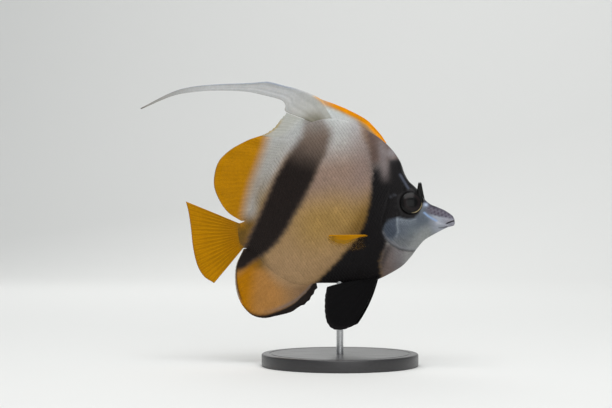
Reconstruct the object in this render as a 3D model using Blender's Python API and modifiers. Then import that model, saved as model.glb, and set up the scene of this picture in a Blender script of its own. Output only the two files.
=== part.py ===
"""Red sea bannerfish, a life-size adult swimming nose-up on a plain display stand.

The fish is drawn in its own frame, in millimetres: s runs back from the snout tip, y runs out to
the fish's left, and h is the height over the body axis. An empty at the snout tip carries it all.
"""

import math

import bmesh
import bpy
import numpy as np
from mathutils import Matrix, Vector

MM = 0.001

# Driving sizes, in millimetres
STANDARD_LENGTH = 136.0     # snout tip to the root of the tail fin
WIDEST = 26.0               # across the gill covers
PITCH = 8.0                 # degrees that the swimming fish points its nose up
GAP = 0.3                   # clearance between neighbouring pieces
FIN_EDGE = 0.5              # membrane at a fin's free edge
SINK = 2.5                  # how deep a fin's root starts inside the flesh before it is trimmed
SNOUT_HEIGHT = 92.8         # snout tip over the floor
SNOUT_REACH = 73.1          # snout tip ahead of the stand's rod

BASE_RADIUS = 50.0
BASE_THICKNESS = 8.0
BASE_BEVEL = 1.2
ROD_RADIUS = 2.2

# Body outline without fins, as (s, h)
BACK_PROFILE = [(0, 1.1), (0.4, 2.2), (1.1, 3.5), (5.1, 7.1), (9.8, 10.0), (13.9, 12.5), (17.2, 16.4),
                (20.0, 21.8), (22.6, 25.4), (25.4, 29.0), (27.5, 34.5), (29.2, 42.4), (34.1, 51.5),
                (42.5, 60.8), (58.4, 71.9), (73, 75.6), (88, 72.4), (105.6, 58.8), (120.3, 38.8),
                (130.7, 21.4), (135, 17.8), (139, 17.4)]
BELLY_PROFILE = [(0, -1.7), (0.4, -2.5), (1.1, -3.2), (6.0, -4.0), (15.4, -7.4), (20.9, -9.9),
                 (26.0, -14.3), (31.3, -19.6), (38.4, -24.8), (52.0, -30.0), (62, -31.3), (76, -29.6),
                 (92, -27.6), (104, -27.0), (113, -22.8), (122, -14.4), (130, -3.6), (135, 0.6), (139, 1.2)]
# Half thickness at the widest level, and the height of that level, as (s, value)
HALF_WIDTH = [(0, 1.1), (0.4, 1.7), (1.1, 2.3), (5, 3.5), (10, 4.9), (15, 6.9), (20, 8.6), (27, 10.1),
              (36, 11.8), (46, WIDEST / 2), (60, 12.8), (75, 11.6), (90, 9.7), (105, 7.4), (120, 5.0),
              (130, 3.6), (139, 2.2)]
WIDE_LEVEL = [(0, -0.3), (5, 1.2), (15, 2.5), (27, 6.0), (46, 4.0), (75, 6.0), (105, 8.0), (130, 9.0),
              (139, 9.3)]
RIDGE_HALF = [(0, 0.2), (10, 0.5), (27, 1.0), (46, 1.2), (120, 1.1), (139, 0.9)]
# How a section closes towards the back and the belly: y = edge + swell * (1 - t**round) ** close
BACK_CLOSE = [(0, 0.5), (12, 0.42), (20, 0.34), (28, 0.5), (46, 0.8), (75, 0.95), (139, 0.8)]
BELLY_CLOSE = [(0, 0.5), (46, 0.62), (75, 0.75), (139, 0.8)]
SECTION_ROUND = 1.9

HEAD_STATIONS = 30
TRUNK_STATIONS = 22
HEAD_LENGTH = 46.0
SECTION_POINTS = 13         # from the back to the belly, on each side

EYE = (24.6, 14.6)          # centre of the eye, (s, h)
EYE_RADIUS = 7.2
EYE_DOME = 2.7              # half depth of the flattened eyeball
EYE_OUT = 8.0               # its centre from the midplane
EYE_FORWARD = 22.0          # degrees that it looks ahead of straight out
EYE_UPWARD = 8.0            # degrees that it looks up
HORN_ROOT = (20.2, 4.4, 13.5)
HORN_TIP = (18.3, 4.9, 27.1)
HORN_RADIUS = 3.3
HORN_TIP_RADIUS = 0.5
NOSTRIL = (14.6, 6.2, 9.6)

# The rear edge of the gill cover, run on up to the nape, and the station where the tail's stalk begins
GILL_ARC = [(21.6, -18.5), (25.4, -15.2), (29.3, -14.4), (35.2, -12.6), (39.6, -9.1), (42.6, -4.6),
            (43.7, 0.6), (42.2, 8.0), (38.9, 16.0), (35.0, 27.0), (31.0, 40.0), (26.0, 52.0)]
TAIL_CUT = 132.6

# Fin edges, as (s, h)
FRONT_DORSAL_EDGE = [(35.7, 54.4), (38.6, 60.4), (44.6, 69.1), (50.3, 74.5), (62.2, 82.4), (74.4, 89.0),
                     (79.1, 91.6)]
BANNER_UPPER = [(65.5, 71.5), (69.6, 80.5), (74.4, 89.1), (86.4, 96.8), (95.7, 100.8), (105.4, 104.9),
                (110.3, 105.6), (118.2, 106.1), (141.2, 108.6), (157.8, 109.3), (171.6, 107.4),
                (192.6, 100.6)]
BANNER_LOWER = [(77.5, 71.5), (86, 78.2), (96.2, 84.4), (96.9, 88.2), (99.6, 92.0), (109.6, 96.4),
                (122.2, 100.9), (141.7, 104.5), (158.3, 105.8), (171.9, 105.0), (192.3, 99.6)]
MIDDLE_DORSAL_EDGE = [(94.4, 86.0), (97.6, 83.2), (101.6, 79.5), (106.0, 75.2), (111.6, 72.3),
                      (116.0, 71.2)]
SOFT_DORSAL_EDGE = [(116.0, 71.2), (125.3, 69.4), (135.8, 65.6), (144.6, 59.9), (149.4, 51.5),
                    (150.8, 43.1), (148.8, 34.0), (143.8, 24.9), (136.2, 18.6)]
ANAL_EDGE = [(93.0, -30.5), (100.4, -38.6), (106.5, -41.2), (112.2, -43.8), (122, -45.0), (130.8, -45.2),
             (138.6, -41.6), (144.0, -33.0), (145.8, -22.0), (143.6, -9.6), (137.2, 0.6)]
TAIL_EDGE = [(170.1, 36.1), (169.3, 29.0), (169.2, 18.0), (169.5, 6.0), (168.4, -5.4), (165.2, -13.4),
             (159.3, -18.7)]
PELVIC_EDGE = [(71.6, -57.2), (77.8, -58.6), (84.0, -57.8), (87.6, -54.0), (88.6, -48.0), (88.2, -42.0),
               (87.2, -36.0), (85.4, -30.6)]
PECTORAL_ROOT = [(52.9, -1.8), (54.6, -7.6)]
# Pectoral fin's edge as (s, h, distance out from the widest part of the flank)
PECTORAL_EDGE = [(75.0, 1.6, 21.4), (76.8, -0.9, 18.4), (76.0, -4.4, 12.6), (72.4, -7.8, 7.6),
                 (66.8, -9.8, 4.4), (60.8, -10.2, 2.4)]

FRONT_SPINES = 3
SPINE_TIPS_MIDDLE = 7
SOFT_DORSAL_RAYS = 25
ANAL_SPINES = 3
ANAL_RAYS = 18
TAIL_RAYS = 17
PELVIC_RAYS = 6
PECTORAL_RAYS = 15


def catmull(points, count):
    """A smooth curve through the points, as count points evenly spaced along it."""
    p = np.array(points, float)
    p = np.vstack([2 * p[0] - p[1], p, 2 * p[-1] - p[-2]])
    steps = 24
    dense = []
    for i in range(1, len(p) - 2):
        for k in range(steps):
            t = k / steps
            a, b, c, d = p[i - 1], p[i], p[i + 1], p[i + 2]
            dense.append(0.5 * (2 * b + (c - a) * t + (2 * a - 5 * b + 4 * c - d) * t * t
                                + (3 * b - a - 3 * c + d) * t ** 3))
    dense.append(p[-2])
    dense = np.array(dense)
    run = np.concatenate([[0], np.cumsum(np.linalg.norm(np.diff(dense, axis=0), axis=1))])
    want = np.linspace(0, run[-1], count)
    return np.column_stack([np.interp(want, run, dense[:, k]) for k in range(dense.shape[1])])


BACK_LINE = catmull(BACK_PROFILE, 400)
BELLY_LINE = catmull(BELLY_PROFILE, 400)


def along(table, s):
    """The value of a (s, value) table at s, eased between its rows."""
    line = catmull(table, 200)
    return np.interp(s, line[:, 0], line[:, 1])


def back(s):
    return np.interp(s, BACK_LINE[:, 0], BACK_LINE[:, 1])


def belly(s):
    return np.interp(s, BELLY_LINE[:, 0], BELLY_LINE[:, 1])


def bump(distance, width):
    return np.exp(-(distance / width) ** 2)


def relief(s, h):
    """Forms that stand out of the plain body: lips, orbit rim, brow, gill cover and cheek."""
    from_eye = np.hypot(s - EYE[0], h - EYE[1])
    orbit = 0.4 * bump(from_eye - EYE_RADIUS - 0.9, 1.3) - 0.9 * bump(from_eye, 8.0)
    brow = 0.9 * bump(np.hypot(s - 20.0, h - 21.0), 4.0)
    lips = 0.55 * bump(s - 2.6, 1.9)
    gill = catmull(GILL_ARC, 120)
    inside = np.clip((np.interp(h, gill[:, 1], gill[:, 0]) - s) / 1.5, 0, 1) * (h > gill[0, 1])
    reach = np.clip((30 - h) / 12, 0, 1) * np.clip((s - 24) / 10, 0, 1)
    return orbit + brow + lips + 0.6 * inside * reach


def half_thickness(s, h):
    """Half the body's thickness at a place on its side."""
    top, low, level = back(s), belly(s), along(WIDE_LEVEL, s)
    edge, wide = along(RIDGE_HALF, s), along(HALF_WIDTH, s)
    up = np.clip((h - level) / (top - level), 0, 1)
    down = np.clip((level - h) / (level - low), 0, 1)
    t = np.maximum(up, down)
    close = np.where(up > down, along(BACK_CLOSE, s), along(BELLY_CLOSE, s))
    swell = np.clip(1 - t ** SECTION_ROUND, 0, 1) ** close
    return edge + (wide - edge) * swell + relief(s, h) * swell


def clear_scene():
    for item in list(bpy.data.objects):
        bpy.data.objects.remove(item, do_unlink=True)


def collection(name):
    made = bpy.data.collections.new(name)
    bpy.context.scene.collection.children.link(made)
    return made


def paint(name, colour, rough, metallic=0.0):
    made = bpy.data.materials.new(name)
    made.use_nodes = True
    shader = made.node_tree.nodes["Principled BSDF"]
    shader.inputs["Base Color"].default_value = (*colour, 1)
    shader.inputs["Roughness"].default_value = rough
    shader.inputs["Metallic"].default_value = metallic
    return made


def mesh_object(name, points, faces, group, material=None, parent=None):
    """A mesh object from (s, y, h) points in millimetres, hung on its parent."""
    p = np.array(points, float)
    mesh = bpy.data.meshes.new(name)
    mesh.from_pydata([(-s * MM, y * MM, h * MM) for s, y, h in p], [], [tuple(f) for f in faces])
    work = bmesh.new()
    work.from_mesh(mesh)
    bmesh.ops.recalc_face_normals(work, faces=work.faces)
    work.to_mesh(mesh)
    work.free()
    made = bpy.data.objects.new(name, mesh)
    group.objects.link(made)
    made.parent = parent
    if material:
        mesh.materials.append(material)
    return made


def as_helper(item):
    item.hide_render = True
    item.display_type = "WIRE"
    return item


def boolean(item, operation, other):
    """A Boolean modifier that cuts item by other, or keeps what they share."""
    made = item.modifiers.new(other.name, "BOOLEAN")
    made.operation = operation
    made.object = other
    made.solver = "EXACT"
    return made


def body_stations():
    head = HEAD_LENGTH * np.linspace(0, 1, HEAD_STATIONS) ** 1.15
    trunk = np.linspace(HEAD_LENGTH, STANDARD_LENGTH + 3, TRUNK_STATIONS)[1:]
    return np.concatenate([[0, 0.4, 1.1], head[2:], trunk])


def body(name, group, parent):
    """The whole body as one closed loft of upright sections."""
    turn = np.linspace(0, math.pi, SECTION_POINTS)
    points = []
    for s in body_stations():
        top, low, level = back(s), belly(s), along(WIDE_LEVEL, s)
        v = np.cos(turn)
        h = np.where(v > 0, level + (top - level) * v, level + (level - low) * v)
        y = half_thickness(np.full_like(h, s), h)
        points += [(s, -b, a) for a, b in zip(h, y)]
        points += [(s, b, a) for a, b in zip(h[::-1], y[::-1])]
    ring = 2 * SECTION_POINTS
    stations = len(points) // ring
    faces = []
    for i in range(stations - 1):
        for j in range(ring):
            a, b = i * ring + j, i * ring + (j + 1) % ring
            faces += [(a, b, b + ring), (a, b + ring, a + ring)]
    faces.append(tuple(range(ring)))
    faces.append(tuple(range((stations - 1) * ring, stations * ring)))
    return mesh_object(name, points, faces, group, parent=parent)


def ribbon(name, line, group, parent):
    """A thin upright wall along a line of (s, h) points, through the whole width of the body."""
    p = np.array(line, float)
    reach = WIDEST
    points = [(s, y, h) for s, h in p for y in (-reach, reach)]
    faces = [(2 * i, 2 * i + 1, 2 * i + 3, 2 * i + 2) for i in range(len(p) - 1)]
    made = mesh_object(name, points, faces, group, parent=parent)
    wall = made.modifiers.new("wall", "SOLIDIFY")
    wall.thickness = GAP * MM
    wall.offset = 0
    return as_helper(made)


def evaluated(item):
    """The item's mesh with its modifiers applied."""
    bpy.context.view_layer.update()
    graph = bpy.context.evaluated_depsgraph_get()
    return bpy.data.meshes.new_from_object(item.evaluated_get(graph))


def parted(whole, names, group, parent, material):
    """The loose pieces of whole, from the head back, each as its own object."""
    work = bmesh.new()
    work.from_mesh(evaluated(whole))
    left, pieces = set(work.verts), []
    while left:
        found, queue = set(), [left.pop()]
        while queue:
            vert = queue.pop()
            found.add(vert)
            for edge in vert.link_edges:
                other = edge.other_vert(vert)
                if other in left:
                    left.discard(other)
                    queue.append(other)
        pieces.append(found)
    pieces = sorted(pieces, key=len)[-len(names):]
    pieces.sort(key=lambda found: -max(vert.co.x for vert in found))
    made = {}
    for name, found in zip(names, pieces):
        order = {vert: k for k, vert in enumerate(found)}
        faces = [[order[vert] for vert in face.verts] for face in work.faces if face.verts[0] in found]
        mesh = bpy.data.meshes.new(name)
        mesh.from_pydata([vert.co.copy() for vert in order], [], faces)
        mesh.materials.append(material)
        made[name] = bpy.data.objects.new(name, mesh)
        group.objects.link(made[name])
        made[name].parent = parent
    work.free()
    return made


def sheet(name, root, tip, rows, thick_root, thick_tip, ray_rise, group, material, parent,
          bow=0.0, sway=None, every=2):
    """A fin: columns run from root to tip, and one in every few is a ray that stands out of the membrane.

    root and tip are arrays of (s, y, h) points, one for each column. bow bends the columns
    forwards, as a share of their length. Both faces are split into triangles alike.
    """
    columns = len(root)
    bend = np.broadcast_to(bow, columns)
    middle, across = [], []
    for c in range(columns):
        for r in range(rows + 1):
            t = r / rows
            place = root[c] * (1 - t) + tip[c] * t
            run = tip[c] - root[c]
            place = place + bend[c] * 4 * t * (1 - t) * np.array([run[2], 0, -run[0]])
            if sway is not None:
                place = place + np.array([0, sway(place[0], place[2]), 0])
            ray = ray_rise * (1 - 0.75 * t) if c % every == 0 else 0.0
            middle.append(place)
            across.append((thick_root * (1 - t) + thick_tip * t + ray) / 2)
    middle = np.array(middle)
    normal = np.cross((tip - root).mean(axis=0), tip[-1] - tip[0])
    normal /= np.linalg.norm(normal)
    offset = np.outer(across, normal)
    points = np.vstack([middle - offset, middle + offset])
    total, line = columns * (rows + 1), rows + 1
    faces = []
    for c in range(columns - 1):
        for r in range(rows):
            a, b = c * line + r, (c + 1) * line + r
            for shift in (0, total):
                faces += [(a + shift, b + shift, b + 1 + shift), (a + shift, b + 1 + shift, a + 1 + shift)]
    rim = [r for r in range(rows)]
    rim += [c * line + rows for c in range(columns - 1)]
    rim += [(columns - 1) * line + r for r in range(rows, 0, -1)]
    rim += [c * line for c in range(columns - 1, 0, -1)]
    for k, a in enumerate(rim):
        b = rim[(k + 1) % len(rim)]
        faces += [(a, b, b + total), (a, b + total, a + total)]
    return mesh_object(name, points, faces, group, material, parent)


def flat(line):
    """(s, h) points as (s, y, h) points on the midplane."""
    line = np.array(line, float)
    return np.column_stack([line[:, 0], np.zeros(len(line)), line[:, 1]])


def sunk(profile, start, end, count, depth):
    """Points on the back or belly line between two stations, moved depth into the flesh."""
    s = np.linspace(start, end, count)
    h = profile(s)
    slope = np.gradient(h, s)
    inward = -1 if profile is back else 1
    away = np.hypot(1, slope)
    return flat(np.column_stack([s - inward * depth * slope / away, h + inward * depth / away]))


def trimmed(fin, flesh):
    boolean(fin, "DIFFERENCE", flesh)
    return fin


def step_back(root, tip, which):
    """Moves a fin's end column half the clearance away from the neighbour it meets."""
    run = tip[which] - root[which]
    away = np.array([run[2], 0, -run[0]]) / np.linalg.norm(run) * GAP / 2
    inside = root[1 if which == 0 else -2] - root[which]
    if np.dot(away, inside) < 0:
        away = -away
    root[which] += away
    tip[which] += away


def outline_cutter(name, outline, grow, group, parent, reach=6.0):
    """A prism over an outline of (s, h) points that is grown outwards in its own plane."""
    p = np.array(outline, float)
    before, after = np.roll(p, 1, axis=0), np.roll(p, -1, axis=0)
    run = after - before
    away = np.column_stack([run[:, 1], -run[:, 0]]) / np.linalg.norm(run, axis=1)[:, None]
    area = np.sum(p[:, 0] * after[:, 1] - after[:, 0] * p[:, 1])
    p = p + away * grow * (1 if area > 0 else -1)
    count = len(p)
    points = [(s, -reach, h) for s, h in p] + [(s, reach, h) for s, h in p]
    faces = [tuple(range(count)), tuple(range(2 * count - 1, count - 1, -1))]
    faces += [(i, (i + 1) % count, (i + 1) % count + count, i + count) for i in range(count)]
    return as_helper(mesh_object(name, points, faces, group, parent=parent))


def dorsal_fins(flesh, group, cutters, paints, parent):
    columns = 4 * FRONT_SPINES + 1
    front_tip = flat(catmull(FRONT_DORSAL_EDGE, columns))
    front_root = sunk(back, 37.5, 69.5, columns, SINK)
    front = sheet("dorsal_fin_front", front_root, front_tip, 5, 2.0, FIN_EDGE + 0.2, 1.0, group,
                  paints["white"], parent, every=4)
    trimmed(front, flesh)
    columns = 30
    upper, lower = flat(catmull(BANNER_UPPER, columns)), flat(catmull(BANNER_LOWER, columns))
    share = np.linspace(0, 1, columns)[:, None]
    middle = (upper + lower) / 2
    upper = middle + (upper - middle) * (1 - 0.02 * share)
    rows = 5
    banner = []
    for c in range(columns):
        spine = 1.7 * (1 - share[c, 0]) ** 1.3 + FIN_EDGE + 0.2
        banner.append((upper[c], lower[c], spine))
    strip(name="dorsal_banner", bands=banner, rows=rows, group=group, material=paints["white"],
          parent=parent, flesh=flesh)
    outline = np.vstack([upper, lower[::-1]])[:, [0, 2]]
    parting = outline_cutter("banner_parting", outline, GAP, cutters, parent)
    boolean(front, "DIFFERENCE", parting)
    spines = 2 * SPINE_TIPS_MIDDLE + 1
    edge = catmull(MIDDLE_DORSAL_EDGE, spines)
    outward = np.column_stack([-np.gradient(edge[:, 1]), np.gradient(edge[:, 0])])
    outward /= np.linalg.norm(outward, axis=1)[:, None]
    tips = np.where(np.arange(spines) % 2 == 0, 0.5, -0.7)[:, None]
    edge = flat(edge + outward * tips)
    root = sunk(back, 76.0, 95.6, spines, SINK)
    step_back(root, edge, -1)
    middle = sheet("dorsal_fin_middle", root, edge, 5, 2.2, FIN_EDGE, 0.6, group, paints["white"], parent)
    trimmed(middle, flesh)
    boolean(middle, "DIFFERENCE", parting)
    columns = 2 * SOFT_DORSAL_RAYS + 1
    edge = flat(catmull(SOFT_DORSAL_EDGE, columns))
    root = sunk(back, 95.6, 132.0, columns, SINK)
    step_back(root, edge, 0)
    soft = sheet("dorsal_fin_soft", root, edge, 6, 2.2, FIN_EDGE, 0.5, group, paints["yellow"], parent)
    trimmed(soft, flesh)


def strip(name, bands, rows, group, material, parent, flesh):
    """The banner: a tapering strip between two edges, with the long spine along its upper edge."""
    points, faces = [], []
    line = 2 * (rows + 1)
    for upper, lower, spine in bands:
        ring = []
        for r in range(rows + 1):
            t = r / rows
            place = upper * (1 - t) + lower * t
            shaft = 0.55 + 0.45 * math.cos(math.pi * min(1, 2.5 * t)) - 0.1 * t
            half = FIN_EDGE / 2 + (spine - FIN_EDGE) / 2 * shaft
            ring.append((place, half))
        points += [(p[0], -half, p[2]) for p, half in ring]
        points += [(p[0], half, p[2]) for p, half in reversed(ring)]
    for i in range(len(bands) - 1):
        for j in range(line):
            a, b = i * line + j, i * line + (j + 1) % line
            faces += [(a, b, b + line), (a, b + line, a + line)]
    faces.append(tuple(range(line)))
    faces.append(tuple(range((len(bands) - 1) * line, len(bands) * line)))
    made = mesh_object(name, points, faces, group, material, parent)
    return trimmed(made, flesh)


def anal_fin(flesh, group, paints, parent):
    columns = 2 * (ANAL_SPINES + ANAL_RAYS) + 1
    edge = catmull(ANAL_EDGE, columns)
    outward = np.column_stack([np.gradient(edge[:, 1]), -np.gradient(edge[:, 0])])
    outward /= np.linalg.norm(outward, axis=1)[:, None]
    spine = np.arange(columns) < 2 * ANAL_SPINES + 2
    teeth = np.where(spine, np.where(np.arange(columns) % 2 == 0, 0.9, -0.6), 0)[:, None]
    root = sunk(belly, 93.5, 132.0, columns, SINK)
    trimmed(sheet("anal_fin", root, flat(edge + outward * teeth), 6, 2.2, FIN_EDGE, 0.5, group,
                  paints["yellow"], parent), flesh)


def tail_fin(flesh, group, paints, parent):
    columns = 2 * TAIL_RAYS + 1
    edge = flat(catmull(TAIL_EDGE, columns))
    level = np.linspace(back(138) - 1.0, belly(138) + 1.0, columns)
    root = np.column_stack([np.full(columns, 137.0), np.zeros(columns), level])

    def sway(s, h):
        return -0.0035 * max(0.0, s - 140.0) ** 2

    trimmed(sheet("tail_fin", root, edge, 7, 2.0, FIN_EDGE, 0.6, group, paints["yellow"], parent,
                  sway=sway), flesh)


def paired_fins(flesh, group, paints, parent):
    for name, side in (("right", -1), ("left", 1)):
        columns = 2 * PELVIC_RAYS + 1
        edge = catmull(PELVIC_EDGE, columns)
        share = np.linspace(0, 1, columns)
        along_root = 53.0 + 9.0 * share
        root = np.column_stack([along_root, np.full(columns, side * 3.0), belly(along_root) + 2.2])
        length = np.linalg.norm(edge - root[:, [0, 2]], axis=1)
        tip = np.column_stack([edge[:, 0], side * (3.0 + 0.19 * length), edge[:, 1]])
        trimmed(sheet(f"pelvic_fin_{name}", root, tip, 7, 1.9, FIN_EDGE, 0.6, group, paints["black"],
                      parent, bow=0.05 * (1 - 1.3 * share)), flesh)
        columns = 2 * PECTORAL_RAYS + 1
        edge = catmull([(s, h, y) for s, h, y in PECTORAL_EDGE], columns)
        root_line = catmull(PECTORAL_ROOT, columns)
        depth = half_thickness(root_line[:, 0], root_line[:, 1]) - SINK
        root = np.column_stack([root_line[:, 0], side * depth, root_line[:, 1]])
        tip = np.column_stack([edge[:, 0], side * (WIDEST / 2 + edge[:, 2]), edge[:, 1]])
        trimmed(sheet(f"pectoral_fin_{name}", root, tip, 6, 1.5, FIN_EDGE, 0.4, group, paints["yellow"],
                      parent), flesh)


def ellipsoid(name, centre, radii, group, parent, segments=20, rings=11, material=None,
              forward=0.0, upward=0.0):
    """A closed ellipsoid with its poles out to the sides, at an (s, y, h) centre.

    forward and upward turn its outer pole ahead and up, in degrees, on whichever side it is.
    """
    side = math.copysign(1, centre[1])
    turn = (Matrix.Rotation(-side * math.radians(forward), 3, "Z")
            @ Matrix.Rotation(side * math.radians(upward), 3, "X"))
    work = bmesh.new()
    bmesh.ops.create_uvsphere(work, u_segments=segments, v_segments=rings, radius=1.0)
    for vert in work.verts:
        x, y, z = vert.co
        vert.co = (turn @ Vector((x * radii[0], z * radii[1], -y * radii[2]))
                   + Vector((-centre[0], centre[1], centre[2]))) * MM
    work.normal_update()
    mesh = bpy.data.meshes.new(name)
    work.to_mesh(mesh)
    work.free()
    mesh.shade_smooth()
    if material:
        mesh.materials.append(material)
    made = bpy.data.objects.new(name, mesh)
    group.objects.link(made)
    made.parent = parent
    return made


def eyes_and_horns(head, flesh, group, cutters, paints, parent):
    for name, side in (("right", -1), ("left", 1)):
        place = (EYE[0], side * EYE_OUT, EYE[1])
        ellipsoid(f"eye_{name}", place, (EYE_RADIUS, EYE_DOME, EYE_RADIUS), group, parent,
                  material=paints["eye"], forward=EYE_FORWARD, upward=EYE_UPWARD)
        grown = EYE_RADIUS + GAP
        socket = as_helper(ellipsoid(f"socket_{name}", place, (grown, EYE_DOME + GAP, grown), cutters,
                                     parent, 28, 14, forward=EYE_FORWARD, upward=EYE_UPWARD))
        boolean(head, "DIFFERENCE", socket)
        out = np.array([1, side, 1])
        horn = cone(f"horn_{name}", HORN_ROOT * out, HORN_TIP * out, HORN_RADIUS, HORN_TIP_RADIUS, group,
                    parent, paints["black"])
        boolean(horn, "DIFFERENCE", flesh)
        boolean(horn, "DIFFERENCE", socket)
        nostril = as_helper(ellipsoid(f"nostril_{name}", NOSTRIL * out, (0.8, 1.6, 0.5), cutters, parent,
                                      10, 6))
        boolean(head, "DIFFERENCE", nostril)


def cone(name, root, tip, radius, tip_radius, group, parent, material, sides=12, rings=5):
    """A slightly hollow-sided spike, broad along the head and thinner across it."""
    root, tip = np.array(root, float), np.array(tip, float)
    points, faces = [], []
    for k in range(rings + 1):
        t = k / rings
        r = tip_radius + (radius - tip_radius) * (1 - t) ** 1.15
        centre = root * (1 - t) + tip * t
        for j in range(sides):
            a = 2 * math.pi * j / sides
            points.append((centre[0] + r * math.cos(a), centre[1] + 0.62 * r * math.sin(a), centre[2]))
    for k in range(rings):
        for j in range(sides):
            a, b = k * sides + j, k * sides + (j + 1) % sides
            faces += [(a, b, b + sides), (a, b + sides, a + sides)]
    faces.append(tuple(range(sides)))
    faces.append(tuple(range(rings * sides, (rings + 1) * sides)))
    return mesh_object(name, points, faces, group, material, parent)


def mouth_slit(head, cutters, parent):
    """A thin wedge that parts the lips: open at the snout tip and closed at the corner of the mouth."""
    corner, reach, width = 5.6, 3.0, 6.0
    points = []
    for y in (-width, width):
        points += [(-reach, y, 0.55), (-reach, y, -0.95), (corner, y, -1.35)]
    faces = [(0, 1, 2), (5, 4, 3), (0, 3, 4, 1), (1, 4, 5, 2), (2, 5, 3, 0)]
    boolean(head, "DIFFERENCE", as_helper(mesh_object("mouth", points, faces, cutters, parent=parent)))


def stand(flesh, group, paints):
    bpy.ops.mesh.primitive_cylinder_add(vertices=56, radius=BASE_RADIUS * MM, depth=BASE_THICKNESS * MM,
                                        location=(0, 0, BASE_THICKNESS / 2 * MM))
    base = bpy.context.object
    base.name = "stand_base"
    bevel = base.modifiers.new("edge", "BEVEL")
    bevel.width = BASE_BEVEL * MM
    bevel.segments = 2
    bevel.limit_method = "ANGLE"
    foot = BASE_THICKNESS + GAP
    top = SNOUT_HEIGHT - 25
    bpy.ops.mesh.primitive_cylinder_add(vertices=24, radius=ROD_RADIUS * MM, depth=(top - foot) * MM,
                                        location=(0, 0, (foot + top) / 2 * MM))
    rod = bpy.context.object
    rod.name = "stand_rod"
    boolean(rod, "DIFFERENCE", flesh)
    for item, material in ((base, paints["base"]), (rod, paints["steel"])):
        item.data.materials.append(material)
        for old in list(item.users_collection):
            old.objects.unlink(item)
        group.objects.link(item)


def main():
    clear_scene()
    group, cutters = collection("red_sea_bannerfish"), collection("cutters")
    paints = {
        "skin": paint("skin", (0.42, 0.30, 0.15), 0.45),
        "white": paint("white_fin", (0.62, 0.66, 0.64), 0.5),
        "yellow": paint("yellow_fin", (0.60, 0.36, 0.01), 0.5),
        "black": paint("black_fin", (0.012, 0.011, 0.012), 0.5),
        "eye": paint("eye", (0.02, 0.02, 0.022), 0.1),
        "base": paint("base", (0.05, 0.05, 0.055), 0.4),
        "steel": paint("rod", (0.6, 0.6, 0.6), 0.3, 1.0),
    }
    carrier = bpy.data.objects.new("fish_pose", None)
    group.objects.link(carrier)
    carrier.location = (SNOUT_REACH * MM, 0, SNOUT_HEIGHT * MM)
    carrier.rotation_euler = (0, -math.radians(PITCH), 0)

    whole = as_helper(body("whole_body", cutters, carrier))
    flesh = as_helper(body("flesh_with_gap", cutters, carrier))
    grow = flesh.modifiers.new("gap", "DISPLACE")
    grow.strength = GAP * MM
    grow.mid_level = 0
    boolean(whole, "DIFFERENCE", ribbon("gill_opening", catmull(GILL_ARC, 24), cutters, carrier))
    stalk_line = [(TAIL_CUT, -40), (TAIL_CUT, 60)]
    boolean(whole, "DIFFERENCE", ribbon("tail_parting", stalk_line, cutters, carrier))
    pieces = parted(whole, ["head", "torso", "tail_stalk"], group, carrier, paints["skin"])
    mouth_slit(pieces["head"], cutters, carrier)
    eyes_and_horns(pieces["head"], flesh, group, cutters, paints, carrier)
    dorsal_fins(flesh, group, cutters, paints, carrier)
    anal_fin(flesh, group, paints, carrier)
    tail_fin(flesh, group, paints, carrier)
    paired_fins(flesh, group, paints, carrier)
    stand(flesh, group, paints)


main()
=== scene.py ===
# %% [markdown]
# # A red sea bannerfish, finished over its solid model
#
# The solid model gives every part its place and size. This lesson dresses it as a museum model
# maker would: one skin over the flesh, thousands of overlapping scales, fins with branching rays,
# glassy eyes, and a turned stand. Sizes are in millimetres until the last step, in the fish's own
# frame: s runs back from the snout tip, y to the fish's left, h up from the body axis.

import math

import bmesh
import bpy
import numpy as np
from mathutils import Matrix, Vector


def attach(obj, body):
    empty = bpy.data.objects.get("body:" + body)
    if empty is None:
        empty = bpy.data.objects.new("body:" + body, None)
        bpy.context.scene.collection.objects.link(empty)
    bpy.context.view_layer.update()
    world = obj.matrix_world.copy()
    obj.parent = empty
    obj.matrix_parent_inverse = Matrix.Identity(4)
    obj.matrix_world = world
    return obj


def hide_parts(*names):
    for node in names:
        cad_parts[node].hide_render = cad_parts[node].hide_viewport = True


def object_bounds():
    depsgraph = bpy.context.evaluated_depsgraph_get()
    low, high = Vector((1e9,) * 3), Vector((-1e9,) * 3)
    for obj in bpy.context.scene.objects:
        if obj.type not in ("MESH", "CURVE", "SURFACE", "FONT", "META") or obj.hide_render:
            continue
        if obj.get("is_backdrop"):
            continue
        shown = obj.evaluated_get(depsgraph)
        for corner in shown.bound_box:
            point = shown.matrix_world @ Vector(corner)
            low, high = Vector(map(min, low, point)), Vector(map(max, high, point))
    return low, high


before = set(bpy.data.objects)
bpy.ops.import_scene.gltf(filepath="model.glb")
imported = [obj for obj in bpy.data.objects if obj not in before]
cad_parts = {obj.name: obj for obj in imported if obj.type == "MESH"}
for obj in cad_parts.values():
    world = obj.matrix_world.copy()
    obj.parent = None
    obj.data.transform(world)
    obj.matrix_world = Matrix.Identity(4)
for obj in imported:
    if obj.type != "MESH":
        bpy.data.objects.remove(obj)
solid_box = [list(corner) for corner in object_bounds()]
scene = bpy.context.scene
MM = 0.001
SIDES = (("right", -1), ("left", 1))


def put_in_scene(name, data):
    """A new object in the scene that shows a mesh, a lamp or a camera."""
    made = bpy.data.objects.new(name, data)
    scene.collection.objects.link(made)
    return made


print("solid nodes:", len(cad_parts))

# %% [markdown]
# ## The camera
#
# The fish was taken from its right side, a little ahead of square on, with a long lens and level.
# A 100 mm lens at a little over a metre gives the same slight perspective as the picture has.

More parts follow.
